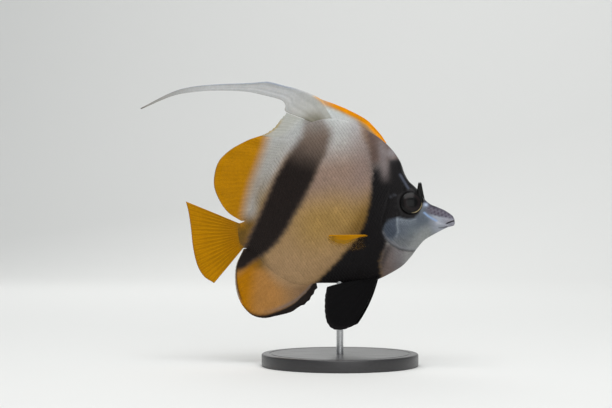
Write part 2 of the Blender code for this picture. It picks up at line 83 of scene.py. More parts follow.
# %% Place the camera
LENS_TURN = math.radians(10)
DISTANCE = 1.089
AIM = Vector((-0.022, 0, 0.1032))
lens_axis = Vector((-math.sin(LENS_TURN), math.cos(LENS_TURN), 0))
lens = bpy.data.cameras.new("camera")
lens.lens = 100
lens.sensor_width = 36
camera = put_in_scene("camera", lens)
camera.location = AIM - lens_axis * DISTANCE
camera.rotation_euler = lens_axis.to_track_quat("-Z", "Y").to_euler()
scene.camera = camera
print("camera at", [round(v, 3) for v in camera.location])

# %% [markdown]
# ## The body's shape
#
# A butterflyfish is a thin disc. Its outline is two smooth lines, back and belly, and its thickness
# at any place comes from a few eased tables: how wide it is, at what level, and how it closes above
# and below. The same rule serves the skin, the scales that lie on it and the roots of the fins.

# %% Outline and thickness tables
PITCH = math.radians(8)
SNOUT = (73.1, 0.0, 92.8)
COAT_DEPTH = 0.15
BACK_PROFILE = [(0, 1.1), (0.4, 2.2), (1.1, 3.5), (5.1, 7.1), (9.8, 10.0), (13.9, 12.5), (17.2, 16.4),
                (20.0, 21.8), (22.6, 25.4), (25.4, 29.0), (27.5, 34.5), (29.2, 42.4), (34.1, 51.5),
                (42.5, 60.8), (58.4, 71.9), (73, 75.6), (88, 72.4), (105.6, 58.8), (120.3, 38.8),
                (130.7, 21.4), (135, 17.8), (139, 17.4)]
BELLY_PROFILE = [(0, -1.7), (0.4, -2.5), (1.1, -3.2), (6.0, -4.0), (15.4, -7.4), (20.9, -9.9), (26.0, -14.3),
                 (31.3, -19.6), (38.4, -24.8), (52.0, -30.0), (62, -31.3), (76, -29.6), (92, -27.6),
                 (104, -27.0), (113, -22.8), (122, -14.4), (130, -3.6), (135, 0.6), (139, 1.2)]
HALF_WIDTH = [(0, 1.1), (0.4, 1.7), (1.1, 2.3), (5, 3.5), (10, 4.9), (15, 6.9), (20, 8.6), (27, 10.1),
              (36, 11.8), (46, 13.0), (60, 12.8), (75, 11.6), (90, 9.7), (105, 7.4), (120, 5.0), (130, 3.6),
              (139, 2.2)]
WIDE_LEVEL = [(0, -0.3), (5, 1.2), (15, 2.5), (27, 6.0), (46, 4.0), (75, 6.0), (105, 8.0), (130, 9.0),
              (139, 9.3)]
RIDGE_HALF = [(0, 0.2), (10, 0.5), (27, 1.0), (46, 1.2), (120, 1.1), (139, 0.9)]
BACK_CLOSE = [(0, 0.5), (12, 0.42), (20, 0.34), (28, 0.5), (46, 0.8), (75, 0.95), (139, 0.8)]
BELLY_CLOSE = [(0, 0.5), (46, 0.62), (75, 0.75), (139, 0.8)]
SECTION_ROUND = 1.9
GILL_ARC = [(21.6, -18.5), (25.4, -15.2), (29.3, -14.4), (35.2, -12.6), (39.6, -9.1), (42.6, -4.6),
            (43.7, 0.6), (42.2, 8.0), (38.9, 16.0), (35.0, 27.0), (31.0, 40.0), (26.0, 52.0)]
EYE = (24.6, 14.6)
EYE_RADIUS = 7.2
EYE_DOME = 2.7
EYE_OUT = 8.0
EYE_FORWARD, EYE_UPWARD = math.radians(22), math.radians(8)


def smooth_line(points, count):
    """A smooth curve through the points, as count points evenly spaced along it."""
    p = np.array(points, float)
    p = np.vstack([2 * p[0] - p[1], p, 2 * p[-1] - p[-2]])
    t = np.linspace(0, 1, 24, endpoint=False)[:, None]
    dense = []
    for a, b, c, d in zip(p[:-3], p[1:-2], p[2:-1], p[3:]):
        dense.append(0.5 * (2 * b + (c - a) * t + (2 * a - 5 * b + 4 * c - d) * t * t
                            + (3 * b - a - 3 * c + d) * t ** 3))
    dense = np.vstack(dense + [p[-2]])
    run = np.concatenate([[0], np.cumsum(np.linalg.norm(np.diff(dense, axis=0), axis=1))])
    want = np.linspace(0, run[-1], count)
    return np.column_stack([np.interp(want, run, dense[:, k]) for k in range(dense.shape[1])])


def eased(table):
    """A function that reads a (place, value) table smoothly."""
    line = smooth_line(table, 300)
    return lambda at: np.interp(at, line[:, 0], line[:, 1])


back, belly = eased(BACK_PROFILE), eased(BELLY_PROFILE)
half_width, wide_level, ridge_half = eased(HALF_WIDTH), eased(WIDE_LEVEL), eased(RIDGE_HALF)
back_close, belly_close = eased(BACK_CLOSE), eased(BELLY_CLOSE)
gill_line = smooth_line(GILL_ARC, 160)
print("body depth:", round(float(back(65) - belly(65)), 1), "mm")

# %% [markdown]
# The head needs more than a smooth disc. Lips, nostrils, the rim round the eye, the edge of the
# cheek plate and the gill cover are each a soft bump, a step or a groove added to the thickness.
# Working with one height rule keeps them in one skin, with no seam between head and flank.


# %% Soft shapes and distances
def bump(distance, width):
    return np.exp(-(distance / width) ** 2)


def ramp(value, start, end):
    """0 before start, 1 after end, eased between them."""
    t = np.clip((value - start) / (end - start), 0, 1)
    return t * t * (3 - 2 * t)


def fade(value, start, end):
    """1 before start, 0 after end, eased between them."""
    return 1 - ramp(value, start, end)


def nearest(line, s, h):
    """Distance from each place to a line of points."""
    line = np.asarray(line, float)
    best = np.full(np.shape(s), 1e9)
    for a, b in zip(line[:-1], line[1:]):
        run = b - a
        t = np.clip(((s - a[0]) * run[0] + (h - a[1]) * run[1]) / (run @ run), 0, 1)
        best = np.minimum(best, np.hypot(s - a[0] - t * run[0], h - a[1] - t * run[1]))
    return best


def spot(s, h, place, width):
    return bump(np.hypot(s - place[0], h - place[1]), width)


# %% Relief of the head
CHEEK_EDGE = smooth_line([(34.3, 9.5), (34.9, 4.5), (35.0, 0.5), (34.6, -3.4), (32.2, -7.0), (27.0, -8.8),
                          (20.5, -7.0)], 26)
MOUTH_LINE = [(-2, 0.0), (0, -0.15), (3, -0.75), (5.8, -1.5)]
NOSTRILS = [(14.6, 9.6), (16.1, 10.6)]


def relief(s, h):
    """Forms that stand out of the plain body, or sink into it."""
    from_eye = np.hypot(s - EYE[0], h - EYE[1])
    orbit = 0.3 * bump(from_eye - EYE_RADIUS - 0.8, 1.0) - 0.9 * bump(from_eye, 8.0)
    socket = -2.6 * fade(from_eye, EYE_RADIUS - 1.6, EYE_RADIUS - 0.1)
    brow = 0.9 * spot(s, h, (20.0, 21.0), 4.0)
    lips = 0.55 * bump(s - 2.6, 1.9)
    behind = s - np.interp(h, gill_line[:, 1], gill_line[:, 0])
    in_reach = ramp(h, -18, -12) * fade(h, 18, 34) * ramp(s, 24, 33)
    cover = (0.62 * fade(behind, -0.5, 0.25) - 0.4 * bump(behind - 0.6, 0.45)) * in_reach
    off = nearest(CHEEK_EDGE, s, h)
    cheek = 0.3 * bump(off, 0.7) - 0.25 * bump(off - 1.4, 0.6)
    ridge = 0.25 * bump(h - np.interp(s, [3, 9, 15], [4.2, 6.2, 9.0]), 0.9)
    ridge = ridge * ramp(s, 3, 6) * fade(s, 14, 17)
    jaw = -0.3 * bump(h - np.interp(s, [4, 10, 17], [-3.3, -2.7, -1.2]), 0.5)
    jaw = jaw * ramp(s, 4, 6) * fade(s, 13, 17)
    return orbit + socket + brow + lips + cover + cheek + ridge + jaw


def fine_dents(s, h):
    """Narrow features cut straight into the finished surface: the mouth and the nostrils."""
    mouth = -1.5 * bump(h - np.interp(s, *np.transpose(MOUTH_LINE)), 0.26) * fade(s, 4.6, 6.0)
    corner = -0.35 * spot(s, h, (6.6, -2.4), 1.0)
    rims = sum(0.22 * bump(np.hypot(s - a, h - b) - 0.8, 0.3) - 0.9 * spot(s, h, (a, b), 0.42)
               for a, b in NOSTRILS)
    return mouth + corner + rims


def half_thickness(s, h):
    """Half the body's thickness at a place on its side."""
    s, h = np.asarray(s, float), np.asarray(h, float)
    top, low, level = back(s), belly(s), wide_level(s)
    edge, wide = ridge_half(s), half_width(s)
    up = np.clip((h - level) / (top - level), 0, 1)
    down = np.clip((level - h) / (level - low), 0, 1)
    t = np.maximum(up, down)
    close = np.where(up > down, back_close(s), belly_close(s))
    swell = np.clip(1 - t ** SECTION_ROUND, 0, 1) ** close
    side = edge + (wide - edge) * swell + relief(s, h) * swell + fine_dents(s, h) * np.minimum(1, 3 * swell)
    return np.maximum(side, 0.08)


print("half thickness at the gill cover:", round(float(half_thickness(42.0, 2.0)), 2), "mm")

# %% [markdown]
# ## Markings
#
# Two dark bands slant across a pearly ground: one from the nape through the eye and chest to the
# pelvic fins, one from the back down to the anal fin. Between them lies a golden flush, the soft
# fins are yolk yellow, the first spines have an orange edge, and the face is slate blue with paler
# streaks. Each patch is an outline or a line with a soft edge and one colour, laid over the patches
# before it. Skin, scales and fins all ask the same rule for their colour, so a band runs on without
# a break from skin to scale to fin.


# %% Colours and how patches are laid over each other
def linear(code):
    """Linear red, green, blue and a full alpha from a screen colour such as #C8D0CC."""
    parts = np.array([int(code[k:k + 2], 16) / 255 for k in (1, 3, 5)])
    return (*np.where(parts <= 0.04045, parts / 12.92, ((parts + 0.055) / 1.055) ** 2.4), 1.0)


def inside(outline, s, h, soft):
    """1 well inside an outline, 0 well outside, eased over soft millimetres each way."""
    line = np.array(outline + outline[:1], float)
    within = np.zeros(np.shape(s), bool)
    for (ax, ay), (bx, by) in zip(line[:-1], line[1:]):
        if ay != by:
            within ^= ((ay > h) != (by > h)) & (s < ax + (h - ay) * (bx - ax) / (by - ay))
    off = nearest(line, s, h)
    return ramp(np.where(within, off, -off), -soft, soft)


def stroke(line, s, h, width):
    """A soft line of the given half width."""
    return bump(nearest(line, s, h), width)


def lay(layers):
    """The colour that comes of laying (code, share) layers over one another."""
    colour = np.zeros(np.shape(layers[0][1]) + (3,))
    for code, share in layers:
        share = np.clip(share, 0, 1)[..., None]
        colour = colour * (1 - share) + np.array(linear(code)[:3]) * share
    return colour


# %% Outlines of the markings
NAPE_BAND = [(50.0, 72), (48.5, 60), (47, 48.5), (46, 38.5), (48.0, 29), (50.4, 18), (54.3, 7.4),
             (60.1, -0.8), (68.4, -8.3), (78.6, -16.8), (88.4, -23.5), (95, -29), (93, -44), (50, -44),
             (50, -29.5), (49.3, -20), (46.2, -14), (42.8, -9.6), (42.8, -4), (42.6, 0.2), (40.8, 3.1),
             (37.5, 5.2), (33.5, 5.8), (29, 4.4), (24.5, 4.1), (20.4, 6.4), (18.6, 11.3), (17.0, 15.0),
             (15.4, 17.5), (14, 32), (22, 52), (34, 66)]
BACK_BAND = [(77, 86), (73.2, 76), (69.9, 69), (69.5, 64.4), (73.9, 54), (79.2, 47), (84.3, 38), (88.9, 32),
             (94.0, 24.5), (103, 13.5), (108, 7.5), (113.5, 2), (120.5, -3), (127, -6), (134, -9.5),
             (140.2, -14), (143, -24), (147, -24), (146.5, -14), (142, -4), (137, 0.5), (134, 4), (131, 9),
             (125, 17.5), (117.5, 29.5), (109, 43.5), (98.8, 56), (92.3, 63.5), (89, 67.5), (87.3, 76),
             (85, 86)]
FACE = [(-3, -8), (-3, 6), (5, 10), (13.9, 15), (15.4, 17.5), (17.0, 15.0), (18.4, 11.2), (20.8, 7.3),
        (24.5, 4.9), (29, 5.1), (33.5, 6.7), (38, 6.1), (41.8, 4.3), (43.6, 1), (43.8, -4), (41.4, -8.4),
        (36, -13), (29.5, -15.2), (24.5, -16), (14, -14)]
CHEST = [(24.5, -16), (29.5, -15.2), (36, -13), (41.2, -9.6), (43.6, -10.4), (46.2, -14), (49.3, -20),
         (50, -29.5), (50, -36), (26, -22)]
SOFT_GLOW = [(110.0, 73), (114.0, 64), (119.4, 54), (126.0, 42.5), (130.9, 31.5), (134.4, 22), (135.4, 15.5),
             (165, 14), (165, 80), (113, 84)]
# the layers of the face end before this place
FACE_REACH = 52
SPINE_EDGE = [(35.7, 54.4), (38.6, 60.4), (44.6, 69.1), (50.3, 74.5), (62.2, 82.4), (74.4, 89.0)]


def flank_layers(s, h):
    """The patches of the body, ground first."""
    wave_s = s + 0.35 * np.sin(1.7 * h + 0.6 * s) + 0.25 * np.sin(3.1 * h)
    wave_h = h + 0.3 * np.sin(1.3 * s - 0.4 * h)
    nape = inside(NAPE_BAND, wave_s, wave_h, 1.6 + 2.2 * ramp(h, 42, 58))
    dusk = inside(NAPE_BAND, s, h, 8.0)
    rear = inside(BACK_BAND, wave_s, wave_h, 2.5 + 1.4 * ramp(h, 50, 66))
    behind = ramp(s, 96, 108) * ramp(h - 1.3 * (128 - s), -12, 6)
    edge = nearest(SPINE_EDGE, s, h)
    high = ramp(h, 36, 46)
    patch = bump(s - 38.6, 2.7) * ramp(h, 27, 39) * fade(h, 52, 62)
    return [
        ("#AEAEAC", np.ones(np.shape(s))),
        ("#BDC1C0", ramp(h, 66, 80)),
        ("#979092", 0.6 * spot(s, h, (52.5, 69), 7.0)),
        ("#A09D94", 0.4 * ramp(s, 97, 105) * fade(h, 60, 72)),
        ("#8F786A", fade(h, 40, 68) * ramp(s, 40, 50) * (1 - 0.8 * behind)),
        ("#7A6A66", 0.6 * fade(s, 50, 66) * ramp(h, 22, 40) * fade(h, 58, 70)),
        ("#A0804A", fade(h + 5 * fade(s, 54, 74), 13, 38) * ramp(s, 44, 50)
         * (1 - 0.35 * ramp(s, 85, 110)) * (1 - 0.9 * behind)),
        ("#AA8A66", ramp(-h, -8, 18) * 0.8 * ramp(s, 44, 60) * (1 - behind)),
        ("#6E5220", np.minimum(1, 3.2 * inside(NAPE_BAND, s, h, 14.0)) * 0.8 * ramp(h, -6, 4)
         * fade(h, 8, 29)),
        ("#6A5022", ramp(s, 120, 129) * fade(h, 15, 25)),
        ("#83704F", behind * fade(h, 26, 50) * 0.9 * fade(s, 120, 129)),
        ("#957659", fade(edge, 6.0, 13.0) * fade(s, 46.5, 54) * 0.9),
        ("#B27E40", fade(np.minimum(edge, back(s) - h), 0.6, 3.0) * ramp(s, 30, 35) * fade(s, 38, 44) * 0.8),
        ("#B07800", inside(SOFT_GLOW, s, h, 5.0)),
        ("#64492E", 0.45 * dusk * (1 - nape) * fade(h, 30, 50)),
        ("#5A4942", nape * high),
        ("#916B3E", 0.6 * inside(BACK_BAND, s - 2.2, h, 3.0) * fade(h, 52, 62)),
        ("#6C5D53", rear * (1 - 0.35 * ramp(h, 62, 80))),
        ("#141213", nape * (1 - high)),
        ("#211B19", rear * fade(h - 0.45 * (s - 90), 42, 70)),
        ("#141213", nape * ramp(35.4 - s, -1.2, 1.2) * fade(h, 42, 45)),
        ("#756B6A", nape * patch),
        ("#8A8587", 0.75 * nape * spot(s, h, (33.2, 47.8), 3.6)),
        # painted highlight: a bluish streak of reflected light on the black forehead behind the horn
        ("#555A68", 0.7 * stroke([(29.2, 33.2), (27.4, 28.6), (25.4, 24.0)], s, h, 0.7)),
        ("#3A3B40", stroke([(36.8, 20.6), (33.6, 21.0)], s, h, 0.6)),
    ]


# %% [markdown]
# The face has the finest drawing: a dark ridge to the snout, a sky-blue streak under it, pale
# lips with fine dots, thin pale lines under the eye, a darker gill cover, and a light line along
# the cover's lower edge with a dark one under it.


# %% Layers of the face
def face_layers(s, h):
    face, chest = inside(FACE, s, h, 0.9), inside(CHEST, s, h, 1.8)
    gill_side = ramp(s - np.interp(h, [-9, -5.5, -2.5, 2.0, 7.0], [40, 38, 35.2, 35.1, 34.6]), -0.3, 1.4)
    snout = fade(s, 13.5, 18.5)
    upper = ramp(h - np.interp(s, [0, 8, 16], [1.2, 3.4, 7.0]), -0.8, 0.8)
    ridge = bump(nearest([(17.0, 15.0), (13.5, 11.9), (9.5, 9.4), (4.5, 6.3), (0.5, 2.6)], s, h), 1.1)
    ridge = ridge * (0.45 + 0.55 * ramp(s, 8, 12))
    blotch = 0.5 + 0.5 * np.sin(2.1 * s + 1.3 * h) * np.sin(1.5 * h - 0.9 * s + 1.0)
    dots = ramp(np.sin(5.2 * s + 1.1 * h) * np.sin(4.7 * h - 0.8 * s), 0.35, 0.75) * fade(s, 5.5, 9.5)
    lid = np.array([(34.5, 6.4), (30.5, 4.8), (27, 3.9), (23, 4.4)])
    lines = sum(share * stroke(lid - (0, drop), s, h, 0.4)
                for drop, share in ((0.3, 0.5), (1.7, 0.26), (3.0, 0.18)))
    gape = bump(h - np.interp(s, *np.transpose(MOUTH_LINE)), 0.4) * fade(s, 4.0, 5.4)
    cover = [(44.2, -1.0), (42.6, -5.0), (39.5, -8.6), (35.2, -12.1), (30.0, -13.9), (24, -15.0)]
    under = [(a + 0.8, b - 1.2) for a, b in cover]
    return [
        ("#6E5F59", chest),
        ("#787577", chest * 0.9 * bump(s - 35, 8)),
        ("#2C2A2B", 0.9 * chest * ramp(s + 0.6 * (h + 12), 38.5, 45)),
        ("#5A616A", face),
        ("#72787C", face * ramp(-h, -3, 6) * fade(s, 24, 34)),
        ("#6A6D70", face * ramp(-h, 2, 10) * (1 - 0.5 * gill_side)),
        # painted light: the underside of the chin and chest made paler to make up for the shade under them
        ("#A2A4A2", 0.6 * np.maximum(face, chest) * fade(h - belly(s), 2, 11) * ramp(s, 11, 18)
         * fade(s, 30, 38)),
        ("#414853", face * gill_side * (1 - 0.8 * ramp(-h, 3, 8))),
        ("#5F5862", face * snout * upper * (0.7 + 0.3 * blotch)),
        ("#726D78", 0.5 * face * upper * fade(s, 6, 10)),
        # the pale lower snout: partly its own colour, partly painted light against the shade under it
        ("#989CA6", face * fade(s, 10, 17) * (1 - upper) * 0.92),
        ("#95929B", 0.7 * face * fade(s, 4, 8) * (1 - upper)),
        ("#8B8792", face * fade(s, 1.5, 4.5) * upper * 0.6),
        ("#35303F", face * upper * fade(s, 11, 16) * 0.7 * ramp(blotch, 0.45, 0.8)),
        ("#26232F", np.maximum(face, ridge * (s < 17)) * ridge * 0.85),
        ("#8AA3C9", face * stroke([(17.4, 7.4), (15.4, 5.0), (13.2, 3.2), (10.6, 1.2)], s, h, 0.62) * 0.85),
        # painted highlight: a small blue-white shine in front of the eye
        ("#A9B6CC", face * spot(s, h, (16.0, 12.2), 1.25)),
        ("#B1B3BD", face * stroke([(10.4, 0.2), (7.5, -1.2), (4.5, -2.3)], s, h, 0.75) * 0.8),
        ("#34364F", face * dots * 0.62),
        ("#979FA8", face * lines),
        ("#8D959E", face * stroke([(34.4, 6.5), (35.0, 2.0), (35.0, -2.5), (36.6, -4.6)], s, h, 0.4) * 0.6),
        ("#85858A", stroke(cover, s, h, 0.55) * 0.7),
        ("#232226", stroke(under, s, h, 0.5) * 0.75),
        ("#1D1C1A", stroke([(10.0, -3.2), (7.6, -3.5), (5.0, -3.2)], s, h, 0.35) * 0.7 + gape * face),
    ]


def hide(s, h, extra=()):
    """The fish's colour at places on it, with any more layers laid on top."""
    s, h = np.asarray(s, float), np.asarray(h, float)
    layers = flank_layers(s, h)
    if np.any(s < FACE_REACH):
        layers += face_layers(s, h)
    return lay(layers + list(extra))


nowhere = np.zeros(1)
print("layers of colour:", len(flank_layers(nowhere, nowhere) + face_layers(nowhere, nowhere)))

# %% [markdown]
# ## Making meshes
#
# Every piece below is points and faces worked out from the rules above. One helper moves points
# from the fish's frame to the room, nose up by eight degrees, one makes the mesh, writes colour and
# tone on its points and shades it smooth, and one settles the finished piece on the body.


# %% From fish frame to room, and from points to mesh
def to_room(points):
    """(s, y, h) in millimetres to room coordinates in metres."""
    p = np.asarray(points, float)
    c, n = math.cos(PITCH), math.sin(PITCH)
    x = SNOUT[0] - c * p[..., 0] - n * p[..., 2]
    z = SNOUT[2] - n * p[..., 0] + c * p[..., 2]
    return np.stack([x, SNOUT[1] + p[..., 1], z], axis=-1) * MM


def write(mesh, name, kind, values):
    """Writes one value for each point of a mesh, as a named attribute."""
    layer = mesh.attributes.new(name, kind, "POINT")
    field = {"FLOAT": "value", "FLOAT_VECTOR": "vector", "FLOAT_COLOR": "color"}[kind]
    layer.data.foreach_set(field, np.ascontiguousarray(values, np.float32).ravel())


def face_outward(mesh):
    work = bmesh.new()
    work.from_mesh(mesh)
    bmesh.ops.recalc_face_normals(work, faces=work.faces)
    work.to_mesh(mesh)
    work.free()


def make_piece(name, points, faces, colour=None, tone=1.0, outward=True):
    """A mesh object in the room from fish-frame points, with its colour written on its points."""
    mesh = bpy.data.meshes.new(name)
    mesh.from_pydata(to_room(points).tolist(), [], faces)
    if outward:
        face_outward(mesh)
    mesh.update()
    count = len(mesh.vertices)
    if colour is not None:
        flat = np.broadcast_to(colour, (count, 3))
        write(mesh, "pigment", "FLOAT_COLOR", np.column_stack([flat, np.ones(count)]))
        write(mesh, "tone", "FLOAT", np.broadcast_to(tone, count))
    mesh.shade_smooth()
    return put_in_scene(name, mesh)


def settle(piece, material=None, nodes=()):
    """The piece takes its material, rides on the body and stands for its solid nodes."""
    if material is not None:
        piece.data.materials.append(material)
    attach(piece, "root")
    if nodes:
        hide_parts(*nodes)
    print(piece.name, len(piece.data.polygons), "faces")


# %% [markdown]
# Most pieces are rings of points joined into a tube. Its ends are closed by one flat face each, or by
# a fan of triangles to a last point, as on a ball.


# %% Faces between rings of points
def tube_faces(rings, around):
    """Four-sided faces between rings that are each closed on themselves."""
    return [(i * around + j, i * around + (j + 1) % around, (i + 1) * around + (j + 1) % around,
             (i + 1) * around + j) for i in range(rings - 1) for j in range(around)]


def capped_faces(rings, around):
    """A tube with one flat face on each end."""
    ends = [tuple(range(around)), tuple(range((rings - 1) * around, rings * around))]
    return tube_faces(rings, around) + ends


def poled_faces(rings, around):
    """A tube with a fan on each end to the two points that follow the rings."""
    faces, pole, last = tube_faces(rings, around), rings * around, (rings - 1) * around
    for j in range(around):
        k = (j + 1) % around
        faces += [(pole, k, j), (pole + 1, last + j, last + k)]
    return faces


print("faces in a tube of two rings of four:", len(tube_faces(2, 4)))

# %% [markdown]
# ## Skin, scales and fin membrane
#
# Fish skin is a wet, slightly see-through layer over silvery tissue, with an index near 1.4. The
# colour written on the points is broken up by a mottle of pigment cells at about a millimetre, as on
# the real animal. Scales have a fine radial ribbing of roughly 0.1 mm, too fine for this view, so it
# is drawn at 0.25 mm. Fin membrane is thinner and duller and lets a little light through.


# %% Node helper and materials of the animal
def add(tree, kind, inputs=None, **settings):
    """Adds a node. inputs gives each socket, by name or number, a value or another node's output."""
    made = tree.nodes.new(kind)
    for key, value in settings.items():
        setattr(made, key, value)
    for key, value in (inputs or {}).items():
        if isinstance(value, bpy.types.NodeSocket):
            tree.links.new(value, made.inputs[key])
        else:
            made.inputs[key].default_value = value
    return made


def spread(tree, value, low, high, start=0.3, end=0.7):
    """Maps a value between start and end to low and high."""
    return add(tree, "ShaderNodeMapRange", {"Value": value, "From Min": start, "From Max": end,
                                            "To Min": low, "To Max": high}).outputs["Result"]


def product(tree, first, second):
    return add(tree, "ShaderNodeMath", {0: first, 1: second}, operation="MULTIPLY").outputs["Value"]


def vector_math(tree, operation, first, key, value):
    return add(tree, "ShaderNodeVectorMath", {0: first, key: value}, operation=operation).outputs["Vector"]


def attribute(tree, name, socket="Fac"):
    """Reads what a mesh has written on its points."""
    return add(tree, "ShaderNodeAttribute", attribute_name=name).outputs[socket]


def object_place(tree):
    return add(tree, "ShaderNodeTexCoord").outputs["Object"]


def noise(tree, place, scale, detail):
    return add(tree, "ShaderNodeTexNoise",
               {"Vector": place, "Scale": scale, "Detail": detail}).outputs["Fac"]


def raise_grain(tree, shader, grain, strength, distance):
    """Lets a grain stand out of the surface by a distance in metres."""
    rise = add(tree, "ShaderNodeBump", {"Height": grain, "Strength": strength, "Distance": distance})
    tree.links.new(rise.outputs["Normal"], shader.inputs["Normal"])


def new_material(name, constants):
    """A material, its tree and its shader, with constants set on the shader's own sockets."""
    made = bpy.data.materials.new(name)
    made.use_nodes = True
    shader = made.node_tree.nodes["Principled BSDF"]
    for socket, value in constants.items():
        shader.inputs[socket].default_value = value
    return made, made.node_tree, shader


def animal_material(name, roughness, specular, bump_scale, bump_height, subsurface):
    """Wet tissue that reads its pigment from the points and lets light about a millimetre in."""
    made, tree, shader = new_material(name, {
        "IOR": 1.4, "Specular IOR Level": specular, "Subsurface Weight": subsurface,
        "Subsurface Radius": (1.0, 0.6, 0.4), "Subsurface Scale": 0.0012})
    place = object_place(tree)
    # pigment cells of about 1.2 mm, in clouds of about 8 mm
    cells = spread(tree, noise(tree, place, 850.0, 3.0), 0.94, 1.06)
    clouds = spread(tree, noise(tree, place, 130.0, 2.0), 0.95, 1.05)
    level = product(tree, product(tree, cells, clouds), attribute(tree, "tone"))
    toned = vector_math(tree, "SCALE", attribute(tree, "pigment", "Color"), "Scale", level)
    tree.links.new(toned, shader.inputs["Base Color"])
    grain = noise(tree, place, bump_scale, 4.0)
    raise_grain(tree, shader, grain, 0.5, bump_height)
    tree.links.new(spread(tree, grain, roughness - 0.06, roughness + 0.08), shader.inputs["Roughness"])
    return made


# bare skin: the wettest of the three, with a soft glint on face and nape
skin_material = animal_material("wet_fish_skin", 0.42, 0.22, 2600.0, 0.00006, 0.04)
# scales: drier, their ribs break the glint up into a pearly sheen
scale_material = animal_material("ribbed_ctenoid_scale", 0.42, 0.13, 4000.0, 0.00003, 0.0)
# fin membrane: dull and a little see-through, so that shading alone shows the rays
fin_material = animal_material("rayed_fin_membrane", 0.5, 0.06, 3000.0, 0.00003, 0.08)
print("materials:", skin_material.name, scale_material.name, fin_material.name)

# %% [markdown]
# ## The skin
#
# The skin is one closed loft of upright sections from the lips to the tail root, so head, flank and
# tail root have no seam. Stations crowd at the head, where the lips, nostrils and gill cover need
# them. At the front the last rings are drawn back between the lips, which leaves the mouth open by
# a hair.

# %% Loft the skin
SIDE_POINTS = 96


def section(s, shrink=0.0):
    """One side of an upright section from back to belly, as (h, half thickness)."""
    v = np.cos(np.linspace(0, math.pi, SIDE_POINTS))
    top, low, level = back(s), belly(s), wide_level(s)
    h = np.where(v > 0, level + (top - level) * v, level + (level - low) * v)
    return h, np.maximum(half_thickness(np.full_like(h, s), h) - shrink, 0.05)


stations = np.concatenate([[0, 0.15, 0.4, 0.75], np.arange(1.1, 46, 0.4), np.arange(46.2, 139.2, 0.8)])
rings, sections = [], []
for s in stations:
    h, y = section(s, shrink=COAT_DEPTH * ramp(s, 8, 16))
    y = y * (1 - 0.45 * ramp(s, 134.5, 139.2))
    sections.append(np.column_stack([h, y]))
    rings.append(np.concatenate([np.column_stack([np.full_like(h, s), -y, h]),
                                 np.column_stack([np.full_like(h, s), y, h])[::-1]]))
first = rings[0]
for back_by, narrow, flat_by in ((0.25, 0.8, 0.55), (1.0, 0.62, 0.3), (2.4, 0.5, 0.22)):
    inner = first * (1, narrow, flat_by)
    inner[:, 0] = back_by
    inner[:, 2] -= 0.15 * (1 - flat_by)
    rings.insert(0, inner)
points = np.vstack(rings)
around = 2 * SIDE_POINTS
in_mouth = np.where(np.arange(len(points)) < 2 * around, 0.35, 1.0)
colour = hide(points[:, 0], points[:, 2])
skin = make_piece("skin", points, capped_faces(len(rings), around), colour, in_mouth)
settle(skin, skin_material, ["head", "torso", "tail_stalk"])

# %% [markdown]
# ## One scale
#
# A bannerfish has small comb-edged scales that overlap like roof tiles, with the free edge to the
# tail. One scale is a thin domed plate: a flat fan of points that knows how high each point stands
# off the skin, where it lies on the scale's own patch of the map, and how much painted shade it
# carries from root to edge. Its rim is folded down so that it reads as solid and is shaded flat,
# which keeps the edge narrow and crisp, and its colour is painted lighter to offset the shade that
# falls on it. Twenty faces are enough for each.

# %% The plate
PLATE_ACROSS = np.linspace(-1, 1, 5)
PLATE_ALONG = [(-0.62, 0.62, -0.10), (-0.12, 0.92, 0.05), (0.36, 0.86, 0.11), (0.66, 0.5, 0.13)]
RIM = [5, 10, 15, 16, 17, 18, 19, 14, 9]
TOP_FACES = 12
# how much lighter the rim is painted, to offset the shade that falls on it
RIM_PAINTED_LIGHT = 1.12
PATCH_SIZE = 0.0026


def make_plate():
    """The scale that is repeated, one unit long, with lift, map place and shade on its points."""
    points = [(along + 0.14 * (1 - a * a) * (along > 0), 0.74 * width * a, lift + 0.03 * (1 - a * a))
              for along, width, lift in PLATE_ALONG for a in PLATE_ACROSS]
    points += [(points[k][0] * 0.99, points[k][1] * 1.02, -0.08) for k in RIM]
    points = np.array(points)
    faces = [(r * 5 + c, r * 5 + 5 + c, r * 5 + 6 + c, r * 5 + 1 + c) for r in range(3) for c in range(4)]
    faces += [(RIM[k + 1], RIM[k], 20 + k, 21 + k) for k in range(len(RIM) - 1)]
    mesh = bpy.data.meshes.new("plate")
    flat = points * (1, 1, 0)
    mesh.from_pydata(flat.tolist(), [], [face[::-1] for face in faces])
    for face in mesh.polygons:
        face.use_smooth = face.index < TOP_FACES
    # painted shade: a plate is a little darker at its root than at its free edge, and its rim is painted
    # lighter against the shade on it
    shade = 0.97 + 0.04 * ramp(points[:, 0], -0.3, 0.45)
    write(mesh, "shade", "FLOAT", np.where(points[:, 2] < -0.05, RIM_PAINTED_LIGHT, shade))
    write(mesh, "lift", "FLOAT", points[:, 2])
    write(mesh, "patch", "FLOAT_VECTOR", flat)
    return put_in_scene("plate", mesh)


plate = make_plate()
print("a plate has", len(plate.data.polygons), "faces")

# %% [markdown]
# ## Laying scales with Geometry Nodes
#
# Thousands of equal plates that follow a surface are a job for nodes. Seats, plain points with a
# direction to the tail, a size and a place on the map, carry one plate each. The plates are turned
# to the surface, made real, and every point is then pressed onto the carrier, so that a scale bends
# with the gill cover, the brow or a fin ray under it. It takes its colour from the carrier at that
# spot. The same tree serves the body and every scaled fin.


# %% The tree
def named(tree, name, kind="FLOAT"):
    return add(tree, "GeometryNodeInputNamedAttribute", {"Name": name}, data_type=kind).outputs["Attribute"]


def store(tree, geometry, name, kind, domain, value):
    return add(tree, "GeometryNodeStoreNamedAttribute", {"Geometry": geometry, "Name": name, "Value": value},
               data_type=kind, domain=domain).outputs["Geometry"]


def nearest_on(tree, carrier, value, kind="FLOAT_VECTOR"):
    """What the carrier has at its spot nearest to each point."""
    return add(tree, "GeometryNodeSampleNearestSurface", {"Mesh": carrier, "Value": value},
               data_type=kind).outputs["Value"]


